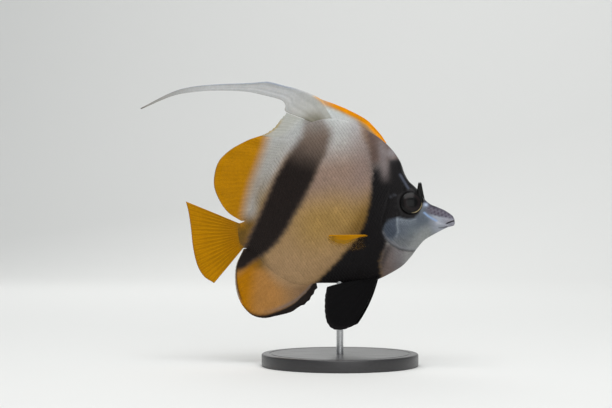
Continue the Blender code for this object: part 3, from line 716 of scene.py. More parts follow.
def make_scale_tree():
    tree = bpy.data.node_groups.new("overlapping_scales", "GeometryNodeTree")
    for name, kind in (("Seats", "Geometry"), ("Carrier", "Object"), ("Plate", "Object"),
                       ("Length", "Float"), ("Patch Size", "Float"), ("Material", "Material")):
        tree.interface.new_socket(name, in_out="INPUT", socket_type="NodeSocket" + kind)
    tree.interface.new_socket("Coat", in_out="OUTPUT", socket_type="NodeSocketGeometry")
    entry = add(tree, "NodeGroupInput").outputs
    carrier = add(tree, "GeometryNodeObjectInfo", {"Object": entry["Carrier"]}).outputs["Geometry"]
    shape = add(tree, "GeometryNodeObjectInfo", {"Object": entry["Plate"]}).outputs["Geometry"]
    # what the carrier has at the nearest spot: where it is, which way it faces, its colour
    normal = add(tree, "GeometryNodeFieldOnDomain",
                 {"Value": add(tree, "GeometryNodeInputNormal").outputs["Normal"]},
                 data_type="FLOAT_VECTOR", domain="POINT").outputs["Value"]
    spot_at = nearest_on(tree, carrier, add(tree, "GeometryNodeInputPosition").outputs["Position"])
    facing = nearest_on(tree, carrier, normal)
    pigment = nearest_on(tree, carrier, named(tree, "pigment", "FLOAT_COLOR"), "FLOAT_COLOR")
    turn = add(tree, "FunctionNodeAxesToRotation", {"Primary Axis": facing,
                                                    "Secondary Axis": named(tree, "aft", "FLOAT_VECTOR")},
               primary_axis="Z", secondary_axis="X").outputs["Rotation"]
    plates = add(tree, "GeometryNodeInstanceOnPoints", {
        "Points": entry["Seats"], "Instance": shape, "Rotation": turn,
        "Scale": product(tree, named(tree, "size"), entry["Length"])}).outputs["Instances"]
    coat = add(tree, "GeometryNodeRealizeInstances", {"Geometry": plates}).outputs["Geometry"]
    coat = store(tree, coat, "pigment", "FLOAT_COLOR", "POINT", pigment)
    coat = store(tree, coat, "tone", "FLOAT", "POINT",
                 product(tree, named(tree, "tone"), named(tree, "shade")))
    on_map = vector_math(tree, "SCALE", named(tree, "patch", "FLOAT_VECTOR"), "Scale", entry["Patch Size"])
    on_map = vector_math(tree, "ADD", named(tree, "place", "FLOAT_VECTOR"), 1, on_map)
    coat = store(tree, coat, "OFBake", "FLOAT2", "CORNER", on_map)
    rise = product(tree, named(tree, "lift"), named(tree, "rise"))
    raised = vector_math(tree, "ADD", spot_at, 1, vector_math(tree, "SCALE", facing, "Scale", rise))
    coat = add(tree, "GeometryNodeSetPosition", {"Geometry": coat, "Position": raised}).outputs["Geometry"]
    coat = add(tree, "GeometryNodeSetMaterial",
               {"Geometry": coat, "Material": entry["Material"]}).outputs["Geometry"]
    add(tree, "NodeGroupOutput", {"Coat": coat})
    return tree


scale_tree = make_scale_tree()
SCRATCH_NAMES = ("aft", "size", "place", "rise", "lift", "patch", "shade")


def lay_scales(name, carrier, seats, length):
    """Runs the tree over the seats and keeps the result as one plain mesh."""
    made = make_piece(name, seats["at"], [], outward=False)
    for key in ("aft", "place", "size", "rise", "tone"):
        write(made.data, key, "FLOAT_VECTOR" if key in ("aft", "place") else "FLOAT", seats[key])
    nodes = made.modifiers.new("scales", "NODES")
    nodes.node_group = scale_tree
    values = {"Carrier": carrier, "Plate": plate, "Length": length * MM, "Patch Size": PATCH_SIZE,
              "Material": scale_material}
    for item in scale_tree.interface.items_tree:
        if item.name in values:
            nodes[item.identifier] = values[item.name]
    depsgraph = bpy.context.evaluated_depsgraph_get()
    mesh = bpy.data.meshes.new_from_object(made.evaluated_get(depsgraph), preserve_all_data_layers=True,
                                           depsgraph=depsgraph)
    made.modifiers.clear()
    for extra in SCRATCH_NAMES:
        if extra in mesh.attributes:
            mesh.attributes.remove(mesh.attributes[extra])
    made.data = mesh
    settle(made)
    return made


print("scale tree has", len(scale_tree.nodes), "nodes")

# %% [markdown]
# ## Seats on the body
#
# The flank has about fifty files of scales from gill cover to tail root. They shrink towards the
# face, the chest and the tail. Rows are stacked up and down from the body's middle by each scale's
# own height, and every other row is set half a step on, so each plate covers the joint of the two
# before it. The map for the coat is the body slit along the back and belly and rolled out flat:
# across it goes the place along the body, up it the distance over the surface from the back.

# %% Seats of the body scales
ROW_STEP, FILE_STEP = 2.05, 2.0
MOST_ROWS = 64
SCALE_LENGTH = 3.0
MAP_EDGE, MAP_SPAN = 0.02, 0.96
crowding = eased([(8, 0.5), (22, 0.52), (34, 0.62), (44, 0.86), (54, 1.0), (95, 1.0), (118, 0.84),
                  (139, 0.6)])
rng = np.random.default_rng(7)


def map_place(across, width, up, height):
    """A place on the bake map for steps across and up a surface of that width and height."""
    place = [MAP_EDGE + MAP_SPAN * across / width, MAP_EDGE + MAP_SPAN * up / height, 0 * across]
    return np.column_stack(place)


def body_size(s, h):
    """How large a scale is at a place, next to one in the middle of the flank."""
    chest = ramp(-h, 6, 24) * fade(s, 44, 62)
    return crowding(s) * (1 - 0.34 * chest) * (1 - 0.22 * ramp(h, 44, 72)) * (1 - 0.15 * ramp(-h, 10, 30))


def girth_place(s, h):
    """Distance over the skin from the back to a place, as a share of the way to the belly."""
    shares = np.zeros(len(s))
    for k, (at, level) in enumerate(zip(s, h)):
        line = sections[int(np.clip(np.searchsorted(stations, at), 0, len(stations) - 1))]
        run = np.concatenate([[0], np.cumsum(np.hypot(*np.diff(line, axis=0).T))])
        shares[k] = np.interp(level, line[::-1, 0], run[::-1]) / run[-1]
    return shares


def body_seats(side):
    """Seats on one flank, row by row from the middle, leaving the eye and the snout bare."""
    run = [12.0]
    while run[-1] < 138.4:
        run.append(run[-1] + 0.5 * FILE_STEP * float(crowding(run[-1])))
    run = np.array(run)
    middle = wide_level(run) * 0.6 + 2
    found = []
    for way in (1, -1):
        h = middle.copy()
        for row in range(MOST_ROWS):
            if way > 0 or row > 0:
                found.append(np.column_stack([run, h])[(row % 2)::2])
            h = h + way * ROW_STEP * body_size(run, h)
    s, h = np.vstack(found).T
    s, h = s + rng.normal(0, 0.05, len(s)), h + rng.normal(0, 0.05, len(s))
    bare = (np.hypot(s - EYE[0], h - EYE[1]) < EYE_RADIUS + 2.2) | (s < 15.5 + 0.32 * np.maximum(h, 0))
    keep = (h < back(s) - 0.1) & (h > belly(s) + 0.1) & ~bare
    s, h = s[keep], h[keep]
    size = body_size(s, h)
    lean = -0.10 * ramp(s, 20, 50)
    at = np.column_stack([s, side * (half_thickness(s, h) - COAT_DEPTH + 0.05), h])
    ahead = np.column_stack([np.cos(lean), np.zeros(len(s)), np.sin(lean)])
    flat = (0.24 + 0.16 * ramp(s, 38, 54)) * (1 - 0.45 * ramp(h, 40, 66))
    return {"at": at, "aft": to_room(at + ahead) - to_room(at), "size": size,
            "rise": MM * (0.4 + 0.75 * size) * flat, "tone": rng.normal(1, 0.035, len(s)),
            "place": map_place(s, 140, girth_place(s, h), 1)}


for word, side in SIDES:
    seats = body_seats(side)
    print(word, "flank:", len(seats["size"]), "scales")
    lay_scales(f"scales_{word}", skin, seats, SCALE_LENGTH)

# %% [markdown]
# ## Fins
#
# A fin is a web of skin held open by rays. Spines at the front are single and stiff; soft rays
# split in two towards the edge. A flat sheet with painted rays would show no relief, so the
# thickness itself carries them: at each place the distance to the nearest ray, or to its branches
# further out, gives a small ridge on both faces. The web is drawn in a little between the rays at
# the edge, and the fin is let ripple slightly.


# %% The fin builder
def ray_ridge(u, t, split):
    """Height from 0 to 1 of the rays at ray coordinate u and distance t from root to edge."""
    off = np.abs(u - np.round(u))
    if split is not None:
        off = np.abs(np.abs(off - 0.24 * ramp(t, split, 1.15)) - 0.10 * ramp(t, split + 0.35, 1.2))
    return bump(off, 0.13 - 0.03 * t)


def fin_mesh(name, root, tip, rays, rows, thick, ray_height, marks, nodes, split=0.35, bow=0.0,
             ripple=0.0, sway=None, fringe=0.25, material=None):
    """A fin between root and tip lines of (s, y, h); marks gives its colour, tone and opacity."""
    columns = len(root)
    u, t = np.broadcast_arrays(np.linspace(0, rays, columns)[:, None],
                               np.linspace(0, 1, rows + 1)[None] ** 0.92)
    ridge = ray_ridge(u, t, split)
    run = tip - root
    length = np.linalg.norm(run, axis=1)[:, None]
    reach = (t * (1 - fringe / length * (1 - ridge) * ramp(t, 0.9, 1.0)))[..., None]
    p = root[:, None] * (1 - reach) + tip[:, None] * reach
    bend = np.broadcast_to(bow, columns)[:, None] * 4 * t * (1 - t)
    p = p + bend[..., None] * np.stack([run[:, 2], 0 * run[:, 1], -run[:, 0]], axis=-1)[:, None]
    normal = np.cross(run.mean(axis=0), tip[-1] - tip[0])
    normal /= np.linalg.norm(normal)
    if sway is not None:
        p[..., 1] += sway(p[..., 0])
    p = p + normal * (ripple * np.sin(u * 1.35 + 2.2 * t) * t ** 2)[..., None]
    web = (thick[0] * (1 - t) ** 1.2 + thick[1] * (1 - (1 - t) ** 1.2)) / 2
    half = web + ray_height / 2 * (1 - 0.6 * t) * ridge
    points = np.vstack([(p + sign * normal * half[..., None]).reshape(-1, 3) for sign in (-1, 1)])
    total, line = columns * (rows + 1), rows + 1
    faces = []
    for c in range(columns - 1):
        for r in range(rows):
            a, b = c * line + r, (c + 1) * line + r
            faces += [(a, b, b + 1, a + 1), (a + total, a + 1 + total, b + 1 + total, b + total)]
    rim = (list(range(rows)) + [c * line + rows for c in range(columns - 1)]
           + [(columns - 1) * line + r for r in range(rows, 0, -1)]
           + [c * line for c in range(columns - 1, 0, -1)])
    faces += [(a, b, b + total, a + total) for a, b in zip(rim, rim[1:] + rim[:1])]
    colour, tone, opacity = marks(p[..., 0], p[..., 2], u / rays, t)
    tone = tone * (0.95 + 0.11 * ridge - 0.03 * t)
    piece = make_piece(name, points, faces, np.tile(colour.reshape(-1, 3), (2, 1)), np.tile(tone.ravel(), 2))
    if material is not None:
        write(piece.data, "opacity", "FLOAT", np.tile(np.broadcast_to(opacity, t.shape).ravel(), 2))
    settle(piece, material or fin_material, nodes)
    return {"piece": piece, "p": p, "normal": normal, "half": half}


def on_midplane(line):
    """(s, h) points as (s, y, h) on the fish's middle plane."""
    line = np.asarray(line, float)
    return np.column_stack([line[:, 0], np.zeros(len(line)), line[:, 1]])


def sunk(profile, start, end, count, depth=2.5):
    """Points a little under the back or belly line."""
    s = np.linspace(start, end, count)
    h = profile(s)
    slope = np.gradient(h, s)
    inward = -1 if profile is back else 1
    away = np.hypot(1, slope)
    return on_midplane(np.column_stack([s - inward * depth * slope / away, h + inward * depth / away]))


def toothed(edge, u, out_by, in_by):
    """Moves an edge out at each spine's tip and in between them, by amounts in millimetres."""
    out = np.column_stack([-np.gradient(edge[:, 1]), np.gradient(edge[:, 0])])
    out /= np.linalg.norm(out, axis=1)[:, None]
    peak = (0.5 + 0.5 * np.cos(2 * math.pi * u)) ** 2
    return edge + out * (out_by * peak + in_by * (1 - peak))[:, None]


print("fin builder ready")

# %% [markdown]
# ### The dorsal fin
#
# It has four parts. Three short spines rise at the front with a narrow orange edge over tan. The
# fourth spine is the banner: white, broad at its foot and drawn out to a thread. Seven spines with
# finely ragged tips run down behind it, and the soft part at the rear glows yellow.


# %% Dorsal fin, front and middle
def front_marks(s, h, across, t):
    off = nearest(SPINE_EDGE, s, h)
    colour = hide(s, h, [("#8E705C", 0.85 * fade(off, 2.5, 9.0) * fade(s, 46.5, 54)),
                         ("#B08A4E", 0.9 * fade(off, 2.2, 5.2) * (1 - 0.4 * ramp(s, 60, 72))),
                         ("#E08C00", fade(off, 1.7, 3.3) * (1 - 0.7 * ramp(s, 64, 74)))])
    return colour, 1.0, 1.0


def middle_marks(s, h, across, t):
    colour = hide(s, h, [("#AFAEA5", 0.75 * ramp(t, 0.25, 0.7)),
                         ("#A9904A", 0.8 * ramp(t, 0.86, 1.0) * ramp(across, 0.1, 0.5))])
    return colour, 1.0 + 0.03 * np.sin(40 * across) * np.sin(9 * t + 4 * across), 1.0


MIDDLE_EDGE = [(97.0, 83.2), (101.6, 79.5), (106.0, 75.2), (111.6, 72.3), (116.0, 71.2)]
front_edge = smooth_line([(36.0, 54.8)] + SPINE_EDGE[1:], 91)
front_fin = fin_mesh("dorsal_front_web", sunk(back, 36.6, 66.5, 91), on_midplane(front_edge), rays=3,
                     rows=22, thick=(2.1, 0.55), ray_height=0.45, marks=front_marks,
                     nodes=["dorsal_fin_front"], split=None, fringe=0.15)
spine_number = np.linspace(0, 7, 141)
ragged = 0.2 * np.sin(13 * spine_number) * np.sin(5.1 * spine_number + 1) + 0.05 * np.sin(31 * spine_number)
middle_edge = toothed(smooth_line(MIDDLE_EDGE, 141), spine_number, 0.05 + ragged, -0.15 + ragged)
middle_fin = fin_mesh("dorsal_middle_web", sunk(back, 78.5, 95.8, 141), on_midplane(middle_edge), rays=7,
                      rows=26, thick=(2.0, 0.36), ray_height=0.16, marks=middle_marks,
                      nodes=["dorsal_fin_middle"], split=None, fringe=0.0)

# %% [markdown]
# The soft part carries on the flank's colours at its foot and turns yellow with a wide soft edge,
# brightest near the rim.

# %% Dorsal fin, soft part
SOFT_EDGE = [(116.0, 71.2), (125.3, 69.4), (135.8, 65.6), (144.6, 59.9), (149.4, 51.5), (150.8, 43.1),
             (148.8, 34.0), (143.8, 24.9), (136.2, 18.6)]


def soft_marks(s, h, across, t):
    colour = hide(s, h, [("#B07A12", 0.5 * ramp(t, 0.9, 0.99) * ramp(across, 0.1, 0.25)),
                         ("#8E6A22", 0.7 * ramp(t, 0.97, 1.0))])
    return colour, 1.0, 1.0


soft_fin = fin_mesh("dorsal_soft_web", sunk(back, 95.8, 132.0, 226),
                    on_midplane(smooth_line(SOFT_EDGE, 226)), rays=25, rows=38, thick=(2.1, 0.34),
                    ray_height=0.34, marks=soft_marks, nodes=["dorsal_fin_soft"],
                    ripple=0.3, fringe=0.1)

# %% [markdown]
# The banner is lofted between its own two edges. Its leading edge is the stiff fourth spine, and
# the white web behind it thins and carries faint folds along its length. In the picture a fine
# bluish line runs along its upper edge and its tip dulls to grey.

# %% The banner
BANNER_UPPER = [(65.5, 71.5), (69.6, 80.5), (74.4, 89.0), (86.4, 96.6), (95.7, 100.55), (105.4, 104.6),
                (110.3, 105.3), (118.2, 105.85), (141.2, 108.4), (157.8, 109.2), (171.6, 107.4),
                (192.4, 100.6)]
BANNER_LOWER = [(78.5, 71.5), (86.8, 77.8), (97.4, 84.0), (97.2, 88.2), (99.6, 92.0), (109.6, 96.4),
                (122.2, 100.9), (141.7, 104.5), (158.3, 105.8), (171.9, 105.0), (192.2, 99.9)]


def banner_grid(columns, rows):
    upper, lower = smooth_line(BANNER_UPPER, columns), smooth_line(BANNER_LOWER, columns)
    share, t = np.broadcast_arrays(np.linspace(0, 1, columns)[:, None], np.linspace(0, 1, rows + 1)[None])
    line = upper[:, None] * (1 - t[..., None]) + lower[:, None] * t[..., None]
    folds = 0.10 * np.sin(19 * t + 5 * share) * ramp(t, 0.2, 0.5) * (1 - share)
    shaft = 1.7 * (1 - share) ** 1.3 + 0.55
    half = 0.24 + (shaft - 0.5) / 2 * bump(t - 0.06, 0.16) + 0.35 * fade(share, 0, 0.12) * (1 - 0.5 * t)
    half = half * (1 - 0.55 * ramp(t, 0.93, 1.0)) * np.where(t < 0.02, 0.6, 1.0)
    half = half * (0.6 + 0.4 * ramp(share, 0.06, 0.2))
    return np.stack([line[..., 0], folds, line[..., 1]], axis=-1), half, share, t


p, half, share, t = banner_grid(190, 26)
aside = [0, 1, 0] * half[..., None]
ring_points = np.concatenate([p - aside, (p + aside)[:, ::-1]], axis=1)
wrinkle = np.sin(31 * t + 9 * share + 1.4 * np.sin(7 * share)) * ramp(t, 0.12, 0.3) * fade(share, 0.6, 0.9)
colour = lay([("#B6B7B7", np.ones(t.shape)), ("#ACABA3", 0.8 * fade(share, 0.05, 0.3)),
              ("#8B96A8", 0.8 * bump(t - 0.05, 0.06) * ramp(share, 0.2, 0.32)),
              ("#787464", 0.9 * inside(BACK_BAND, p[..., 0], p[..., 2], 3.2) * fade(p[..., 2], 75, 85)),
              ("#8A8780", 0.8 * ramp(share, 0.62, 0.97)), ("#55504A", 0.7 * ramp(share, 0.965, 1.0)),
              ("#D8951A", 0.8 * bump(t, 0.07) * fade(np.abs(share - 0.13), 0.01, 0.05))])
colour, tone = [np.concatenate([grid, grid[:, ::-1]], axis=1) for grid in (colour, 1.0 + 0.045 * wrinkle)]
banner = make_piece("banner_web", ring_points.reshape(-1, 3), capped_faces(*ring_points.shape[:2]),
                    colour.reshape(-1, 3), tone.ravel())
settle(banner, fin_material, ["dorsal_banner"])

# %% [markdown]
# ### Anal and tail fin
#
# The anal fin has three strong spines with a black margin that thins backwards, a tan web, a yellow
# rear edge, and at the very rim a thin black line with a clear border outside it. The tail fin is
# yolk yellow, folded lightly along its rays like a half-closed fan, and swings a little to one side.

# %% Anal fin and tail fin
ANAL_EDGE = [(93.0, -30.5), (100.4, -38.6), (106.5, -41.2), (112.2, -43.8), (122, -45.0), (130.8, -45.2),
             (138.6, -41.6), (144.0, -33.0), (145.8, -22.0), (143.6, -9.6), (137.2, 0.6)]
TAIL_RAYS = 17
TAIL_EDGE = [(170.1, 36.1), (169.3, 29.0), (169.2, 18.0), (169.5, 6.0), (168.4, -5.4), (165.2, -13.4),
             (159.3, -18.7)]


def anal_marks(s, h, across, t):
    width = np.interp(across, [0, 0.08, 0.2, 0.34, 0.5, 0.62], [0.8, 0.62, 0.34, 0.16, 0.05, 0.0])
    margin = ramp(t, 1 - width - 0.05, 1 - width + 0.06) * (width > 0.004)
    line = ramp(across, 0.58, 0.7) * bump(t - 0.955, 0.024)
    clear = ramp(across, 0.6, 0.7) * ramp(t, 0.972, 0.985)
    colour = hide(s, h, [("#8A6C4E", ramp(t, 0.0, 0.3) * fade(s, 104, 122) * ramp(-h, 22, 30)),
                         ("#B07C40", 0.9 * ramp(t, 0.0, 0.35) * ramp(s, 104, 122) * ramp(-h, 10, 16)),
                         ("#AD7000", ramp(s + 0.25 * h, 122, 134) * ramp(-h - 0.55 * (s - 130), 5, 12)),
                         ("#746A68", 0.7 * bump(t - 1 + width + 0.07, 0.08) * fade(across, 0.3, 0.52)),
                         ("#211B19", margin), ("#2A2119", 0.85 * line), ("#A9A69A", clear)])
    return colour, 1.0, 1.0


def tail_marks(s, h, across, t):
    furrow = 0.4 * (1 - ray_ridge(across * TAIL_RAYS, t, 0.3)) * ramp(t, 0.1, 0.3)
    colour = lay([("#866222", np.ones(t.shape)), ("#A06C04", ramp(t, 0.02, 0.15)),
                  ("#B07800", ramp(t, 0.15, 0.5)), ("#8C5F04", furrow * (1 - 0.6 * ramp(t, 0.5, 0.9))),
                  ("#8A5E18", 0.5 * ramp(t, 0.965, 1.0))])
    return colour, 1.0, 1.0


ray_number = np.linspace(0, 21, 253)
spiny = fade(ray_number, 3.0, 3.6)
anal_edge = toothed(smooth_line(ANAL_EDGE, 253), ray_number, -0.3 * spiny, 0.2 * spiny)
anal_fin = fin_mesh("anal_web", sunk(belly, 93.5, 132.0, 253), on_midplane(anal_edge), rays=21, rows=44,
                    thick=(2.1, 0.34), ray_height=0.4, marks=anal_marks,
                    nodes=["anal_fin"], ripple=0.25, fringe=0.1)
level = np.linspace(back(138) - 1.0, belly(138) + 1.0, 205)
tail_root = np.column_stack([np.full(205, 136.5), np.zeros(205), level])
fin_mesh("tail_web", tail_root, on_midplane(smooth_line(TAIL_EDGE, 205)), rays=TAIL_RAYS, rows=44,
         thick=(2.0, 0.34), ray_height=0.48, marks=tail_marks, nodes=["tail_fin"],
         split=0.3, fringe=0.12, sway=lambda s: -0.0035 * np.maximum(0.0, s - 140.0) ** 2)

# %% [markdown]
# ### Paired fins
#
# The pelvic fins hang below the chest, black and pointed. The pectoral fins stand out from the
# flanks nearly edge on to the picture, so that only a bright yellow leading ray shows. The web under
# it is clear skin, so its material takes an opacity from its points and the flank shows through.

# %% Pelvic and pectoral fins
PELVIC_EDGE = [(71.6, -57.2), (77.8, -58.6), (84.0, -57.8), (87.6, -54.0), (88.6, -48.0), (88.2, -42.0),
               (87.2, -36.0), (85.4, -30.6)]
PECTORAL_RAYS = 15
PECTORAL_ROOT = [(52.9, -1.8), (54.6, -7.6)]
PECTORAL_EDGE = [(75.0, 1.6, 21.4), (76.8, -0.9, 18.4), (76.0, -4.4, 12.6), (72.4, -7.8, 7.6),
                 (66.8, -9.8, 4.4), (60.8, -10.2, 2.4)]
clear_material = animal_material("clear_pectoral_web", 0.45, 0.1, 3000.0, 0.00003, 0.0)
clear_tree = clear_material.node_tree
clear_tree.links.new(attribute(clear_tree, "opacity"), clear_tree.nodes["Principled BSDF"].inputs["Alpha"])


def pelvic_marks(s, h, across, t):
    return lay([("#0D0C0D", np.ones(t.shape)), ("#252223", 0.5 * ramp(t, 0.9, 1.0))]), 1.0, 1.0


def pectoral_marks(s, h, across, t):
    blade = 0.02 + 0.17 * bump(t - 0.55, 0.3)
    leading = fade(across, blade, blade + 0.08) * (1 - 0.9 * ramp(t, 0.68, 0.95) * ramp(across, 0.015, 0.05))
    colour = lay([("#A87A20", np.ones(t.shape)), ("#C08200", leading),
                  ("#8A6008", leading * fade(t, 0.0, 0.3))])
    veil = 0.62 * inside([(65, -1.5), (69, 0.5), (78, 0.5), (73, -4.5), (69, -5.5), (66.5, -4.5)], s, h, 2.0)
    veil = veil * (0.75 + 0.35 * ray_ridge(across * PECTORAL_RAYS, t, 0.35))
    glow = 0.75 * fade(across, blade + 0.06, blade + 0.34) * ramp(t, 0.25, 0.5)
    glow = glow * (1 - 0.9 * ramp(t, 0.66, 0.95))
    return colour, 1.06, np.clip(leading + (1 - leading) * (0.03 + veil + glow), 0, 1)


for word, side in SIDES:
    share = np.linspace(0, 1, 97)
    edge = smooth_line(PELVIC_EDGE, 97)
    along_root = 53.0 + 9.0 * share
    root = np.column_stack([along_root, np.full(97, side * 3.0), belly(along_root) + 2.2])
    length = np.linalg.norm(edge - root[:, [0, 2]], axis=1)
    tip = np.column_stack([edge[:, 0], side * (3.0 + 0.19 * length), edge[:, 1]])
    fin_mesh(f"pelvic_web_{word}", root, tip, rays=6, rows=36, thick=(1.8, 0.4), ray_height=0.5,
             marks=pelvic_marks, nodes=[f"pelvic_fin_{word}"], split=0.4,
             bow=0.05 * (1 - 1.3 * share), ripple=0.2)
    edge = smooth_line(PECTORAL_EDGE, 151)
    line = smooth_line(PECTORAL_ROOT, 151)
    root = np.column_stack([line[:, 0], side * (half_thickness(line[:, 0], line[:, 1]) - 2.5), line[:, 1]])
    tip = np.column_stack([edge[:, 0], side * (13.0 + edge[:, 2]), edge[:, 1]])
    fin_mesh(f"pectoral_web_{word}", root, tip, rays=PECTORAL_RAYS, rows=28, thick=(1.3, 0.34),
             ray_height=0.32, marks=pectoral_marks, nodes=[f"pectoral_fin_{word}"],
             ripple=0.15, material=clear_material)

# %% [markdown]
# ### Scales on the fins
#
# The soft dorsal and anal fins of this family are sheathed in small scales for most of their height,
# and the spiny fins for about half of it, so the flank seems to run on into them. The same
# tree lays them: seats stand just off one face of the web, so that plates drop onto that face.


# %% Sheath the fins
def web_seats(fin, side, reach, step):
    """Seats on one face of a fin, from its root out to a share of its height."""
    p, half, normal = fin["p"], fin["half"], fin["normal"] * np.sign(fin["normal"][1]) * side
    columns, rows = p.shape[:2]
    length = np.linalg.norm(p[:, -1] - p[:, 0], axis=1)
    middle = np.concatenate([[0], np.cumsum(np.linalg.norm(np.diff(p[:, rows // 2], axis=0), axis=1))])
    places, t, row = [], 0.05, 0
    while t < reach:
        files = np.arange(0.5 + (row % 2) * step / 2, middle[-1] - 0.5, step)
        column = np.interp(files, middle, np.arange(columns))
        places.append(np.column_stack([column, np.full_like(column, t * (rows - 1))]))
        t += step * 0.55 / length.mean()
        row += 1
    c, r = np.clip(np.vstack(places).T, 0, [[columns - 1.001], [rows - 2.501]])

    def read(grid, c, r):
        """The grid's value at a place between its columns and rows."""
        i, j = c.astype(int), r.astype(int)
        a, b = (c - i)[:, None], (r - j)[:, None]
        near = grid[i, j] * (1 - a) + grid[i + 1, j] * a
        far = grid[i, j + 1] * (1 - a) + grid[i + 1, j + 1] * a
        return near * (1 - b) + far * b

    centre = read(p, c, r)
    out = read(p, c, r + 1.5) - centre
    out /= np.linalg.norm(out, axis=1)[:, None]
    lie = out * 0.75 + (np.array([1.0, 0, 0]) - normal * normal[0]) * 0.65
    lie /= np.linalg.norm(lie, axis=1)[:, None]
    at = centre + normal * (read(half[..., None], c, r) + 0.5)
    size, t_of = 1.0 - 0.4 * r / rows, r / rows
    return {"at": at, "aft": to_room(at + lie) - to_room(at), "size": size,
            "rise": MM * 0.36 * size * (1 - 0.85 * t_of / reach), "tone": rng.normal(1, 0.03, len(c)),
            "place": map_place(c, columns, r, rows)}


# name, fin, share of the height, step in millimetres and slot
SHEATHS = [("dorsal_soft", soft_fin, 0.88, 1.15, "yellow_fin"), ("anal", anal_fin, 0.86, 1.15, "yellow_fin"),
           ("dorsal_middle", middle_fin, 0.42, 1.2, "white_fin"),
           ("dorsal_front", front_fin, 0.62, 1.3, "white_fin")]
for word, side in SIDES:
    for name, fin, reach, step, slot in SHEATHS:
        seats = web_seats(fin, side, reach, step)
        lay_scales(f"{name}_sheath_{word}", fin["piece"], seats, 1.5 * step)
bpy.data.objects.remove(plate)

# %% [markdown]
# ## Eyes
#
# The eye is a flattened ball, nearly black, with a thin pale gold ring that shows only at the lower
# front, where it is painted as a highlight. It is built as rings from the pupil outwards, each with its
# own share of the radius written on it for the colour to follow, and with a low dome, the cornea, in the
# middle.

# %% Eyeball
EYE_RINGS, EYE_SPOKES = 39, 72
CORNEA_RISE = 0.35
# the painted highlight on the gold ring faces this way round the eye
GLINT_TURN = math.radians(54)
eye_points, eye_ring, eye_painted_glint = [], [], []
for i in range(1, EYE_RINGS + 1):
    angle = math.pi * i / (EYE_RINGS + 1)
    radius, depth = math.sin(angle), math.cos(angle)
    for j in range(EYE_SPOKES):
        turn = 2 * math.pi * j / EYE_SPOKES
        dome = EYE_DOME * depth + (CORNEA_RISE * max(0.0, 1 - (radius / 0.8) ** 2) if depth > 0 else 0)
        eye_points.append((EYE_RADIUS * radius * math.cos(turn), dome, EYE_RADIUS * radius * math.sin(turn)))
        eye_ring.append(radius if depth > 0 else 1.0)
        eye_painted_glint.append(max(0.0, math.cos(turn + GLINT_TURN)))
eye_points += [(0, EYE_DOME + CORNEA_RISE, 0), (0, -EYE_DOME, 0)]
eye_ring += [0.0, 1.0]
eye_painted_glint += [0.0, 0.0]
eye_faces = poled_faces(EYE_RINGS, EYE_SPOKES)
print("eyeball:", len(eye_faces), "faces")

# %% [markdown]
# The cornea is clear and wet, so the shader has a clear coat with little roughness. Under it a ramp
# over that share paints the pupil, a dark brown iris and a black rim, and the gold ring lies
# between them as a painted highlight, shown only where the second attribute says it faces the lower front.

# %% Eye material
eye_material, tree, shader = new_material("wet_dark_eye", {
    "Roughness": 0.3, "IOR": 1.38, "Specular IOR Level": 0.16, "Coat Weight": 0.12, "Coat Roughness": 0.08})
radius_share = attribute(tree, "iris_ring")
iris = add(tree, "ShaderNodeValToRGB", {"Fac": radius_share})
stops = iris.color_ramp.elements
stops[0].position, stops[0].color = 0.0, linear("#070708")
stops[1].position, stops[1].color = 1.0, linear("#0D0C0C")
for at, code in ((0.44, "#080808"), (0.50, "#171213"), (0.72, "#1C1616"), (0.80, "#0D0C0C")):
    stops.new(at).color = linear(code)
ring_on = spread(tree, radius_share, 0.0, 1.0, 0.83, 0.875)
ring_off = spread(tree, radius_share, 1.0, 0.0, 0.905, 0.945)
# painted highlight: the gold ring shows only where it faces the lower front
lit = spread(tree, attribute(tree, "iris_painted_glint"), 0.0, 0.9, 0.62, 0.95)
gold = product(tree, product(tree, ring_on, ring_off), lit)
with_gold = add(tree, "ShaderNodeMix", {"Factor": gold}, data_type="RGBA")
tree.links.new(iris.outputs["Color"], with_gold.inputs["A"])
with_gold.inputs["B"].default_value = linear("#A99A76")
tree.links.new(with_gold.outputs["Result"], shader.inputs["Base Color"])
print("eye colour stops:", len(stops))

# %% Set both eyes in the head
for word, side in SIDES:
    turn = Matrix.Rotation(-side * EYE_FORWARD, 3, "Z") @ Matrix.Rotation(side * EYE_UPWARD, 3, "X")
    turned = [turn @ Vector((x, side * y, z)) for x, y, z in eye_points]
    placed = [(EYE[0] - v.x, side * EYE_OUT + v.y, EYE[1] + v.z) for v in turned]
    eye = make_piece(f"eyeball_{word}", placed, eye_faces)
    write(eye.data, "iris_ring", "FLOAT", eye_ring)
    write(eye.data, "iris_painted_glint", "FLOAT", eye_painted_glint)
    settle(eye, eye_material, [f"eye_{word}"])

# %% [markdown]
# ## Horns
#
# A short bony knob stands over the front of each eye, broad at the foot and covered in the same
# black skin. It is a small loft of ovals that tapers to a blunt point.

# %% Horns
HORN_RINGS, HORN_SIDES = 31, 32
for word, side in SIDES:
    foot, point = np.array([20.2, side * 4.4, 13.5]), np.array([18.3, side * 4.9, 27.1])
    horn_points = []
    for t in np.arange(HORN_RINGS) / (HORN_RINGS - 1):
        radius = (0.5 + 2.75 * (1 - t) ** 1.15) * math.sqrt(max(0.0, 1 - ramp(t, 0.9, 1.0) * 0.9))
        centre = foot * (1 - t) + point * t
        for j in range(HORN_SIDES):
            a = 2 * math.pi * j / HORN_SIDES
            knob = 1 - 0.04 * (0.5 + 0.5 * math.sin(3 * a + 9 * t)) * (1 - t)
            across = centre[0] + radius * knob * math.cos(a)
            horn_points.append((across, centre[1] + 0.62 * radius * math.sin(a), centre[2]))
    horn_faces = capped_faces(HORN_RINGS, HORN_SIDES)
    horn = make_piece(f"brow_horn_{word}", horn_points, horn_faces, linear("#0E0D0D")[:3])
    settle(horn, skin_material, [f"horn_{word}"])

# %% [markdown]
# ## The stand
#
# The base is turned from wood, so its shape is one profile spun round: a flat foot, an upright edge
# with small rounded corners, and a top with a shallow turned groove. The rod is round polished steel
# and goes into the belly on the body's middle line.

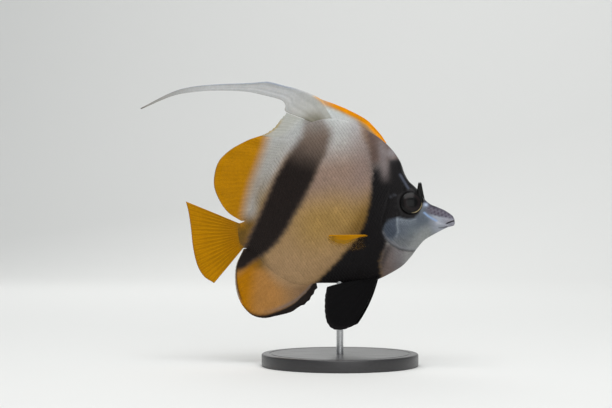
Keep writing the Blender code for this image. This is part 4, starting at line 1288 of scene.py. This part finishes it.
# %% Turn the base and draw the rod
BASE_RADIUS, BASE_HEIGHT = 50.0, 8.0
CORNER_ROUND, FOOT_ROUND = 1.2, 0.8
ROD_RADIUS, ROD_TOP = 2.2, 62.0


def spun(name, profile, steps):
    """A closed mesh in the room from a profile of (radius, height) that starts and ends on the axis."""
    turns = [2 * math.pi * k / steps for k in range(steps)]
    points = [(radius * math.cos(a) * MM, radius * math.sin(a) * MM, height * MM)
              for radius, height in profile[1:-1] for a in turns]
    points += [(0, 0, profile[0][1] * MM), (0, 0, profile[-1][1] * MM)]
    mesh = bpy.data.meshes.new(name)
    mesh.from_pydata(points, [], poled_faces(len(profile) - 2, steps))
    face_outward(mesh)
    mesh.shade_smooth()
    mesh.set_sharp_from_angle(angle=math.radians(35))
    return put_in_scene(name, mesh)


corner = [(BASE_RADIUS - CORNER_ROUND + CORNER_ROUND * math.sin(a),
           BASE_HEIGHT - CORNER_ROUND + CORNER_ROUND * math.cos(a)) for a in np.linspace(math.pi / 2, 0, 7)]
foot = [(BASE_RADIUS - FOOT_ROUND + FOOT_ROUND * math.sin(a), FOOT_ROUND - FOOT_ROUND * math.cos(a))
        for a in np.linspace(0, math.pi / 2, 6)]
groove = [(radius, BASE_HEIGHT - depth)
          for radius, depth in ((45.4, 0), (45.1, 0.35), (44.6, 0.45), (44.1, 0.35), (43.8, 0))]
top = [(20, BASE_HEIGHT), (0, BASE_HEIGHT)]
base = spun("turned_base", [(0, 0), (20, 0)] + foot + corner + groove + top, 144)
rod_side = [(ROD_RADIUS, height) for height in (BASE_HEIGHT, 30.0, ROD_TOP)]
rod = spun("steel_rod", [(0, BASE_HEIGHT)] + rod_side + [(0, ROD_TOP)], 48)
print("base and rod turned")

# %% [markdown]
# Black stain and satin lacquer leave a hint of the wood's rings, seen as long streaks in gloss more
# than in colour. The steel rod is metal, with fine lines round it from turning.


# %% Materials of the stand
def stretched_noise(tree, stretch, detail):
    """Noise drawn out into streaks by a different scale along each axis."""
    place = add(tree, "ShaderNodeMapping",
                {"Vector": object_place(tree), "Scale": stretch}).outputs["Vector"]
    return noise(tree, place, 1.0, detail)


wood, tree, shader = new_material("ebonised_beech_satin_lacquer",
                                  {"Coat Weight": 0.3, "Coat Roughness": 0.25})
grain = stretched_noise(tree, (60.0, 900.0, 900.0), 5.0)
tint = add(tree, "ShaderNodeMix", {"Factor": grain}, data_type="RGBA")
tint.inputs["A"].default_value = linear("#1D1C1D")
tint.inputs["B"].default_value = linear("#333133")
tree.links.new(tint.outputs["Result"], shader.inputs["Base Color"])
tree.links.new(spread(tree, grain, 0.34, 0.5), shader.inputs["Roughness"])
raise_grain(tree, shader, grain, 0.25, 0.0001)
steel, tree, shader = new_material("drawn_steel", {"Base Color": linear("#B9BABB"), "Metallic": 1.0})
turned = stretched_noise(tree, (200.0, 200.0, 6000.0), 3.0)
tree.links.new(spread(tree, turned, 0.22, 0.4), shader.inputs["Roughness"])
settle(base, wood, ["stand_base"])
settle(rod, steel, ["stand_rod"])

# %% [markdown]
# ## Floor and light
#
# A pale sheet runs under the stand and curves up behind it, so no horizon cuts the picture. The
# light is soft and mostly from above: one broad lamp overhead, a gentle one from the camera's side,
# one from behind, one for the sheet alone and a pale sky to fill.

# %% Studio
SHEET_HALF, BEND_START, BEND_RADIUS = 2.5, 1.1, 0.9
rows = [(-2.0, 0.0), (BEND_START, 0.0)]
rows += [(BEND_START + BEND_RADIUS * math.sin(a), BEND_RADIUS - BEND_RADIUS * math.cos(a))
         for a in np.linspace(0.1, math.pi / 2, 16)]
rows += [(2.0, 2.8)]
mesh = bpy.data.meshes.new("studio_sheet")
mesh.from_pydata([(x, y, z) for y, z in rows for x in (-SHEET_HALF, SHEET_HALF)], [],
                 [(2 * i, 2 * i + 1, 2 * i + 3, 2 * i + 2) for i in range(len(rows) - 1)])
mesh.shade_smooth()
studio_sheet = put_in_scene("studio_sheet", mesh)
# matt paper: it takes the shadow without a glint
paper, tree, shader = new_material("pale_paper", {"Base Color": linear("#E2E2E0"), "Roughness": 0.85})
mesh.materials.append(paper)
studio_sheet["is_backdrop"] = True


def lamp(name, place, aim, size, power):
    """A rectangular lamp at a place, turned to what it aims at, with its power in watts."""
    data = bpy.data.lights.new(name, "AREA")
    data.shape = "RECTANGLE"
    data.size, data.size_y = size
    data.energy = power
    made = put_in_scene(name, data)
    made.location = place
    made.rotation_euler = (Vector(aim) - Vector(place)).to_track_quat("-Z", "Y").to_euler()


lamp("overhead", (0.1, -0.35, 1.1), (0, 0, 0.1), (1.1, 0.9), 11.0)
lamp("front_fill", (0.5, -1.3, 0.5), (0, 0, 0.1), (1.2, 0.9), 5.5)
lamp("far_fill", (-0.5, 1.0, 0.8), (0, 0, 0.1), (0.9, 0.7), 3.0)
lamp("backdrop_wash", (0, 0.9, 1.3), (0, 2.0, 0.3), (1.8, 0.3), 9.0)
sky = bpy.data.worlds.new("pale_sky")
sky.use_nodes = True
sky.node_tree.nodes["Background"].inputs["Color"].default_value = linear("#DDE2E4")
sky.node_tree.nodes["Background"].inputs["Strength"].default_value = 0.42
scene.world = sky
scene.view_settings.view_transform = "Standard"
print("studio ready")

# %% Compare the finished box with the solid one, and finish
dressed_box = [list(corner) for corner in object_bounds()]
for low_high, before, after in zip(("low", "high"), solid_box, dressed_box):
    print(low_high, "solid", before, "dressed", after)
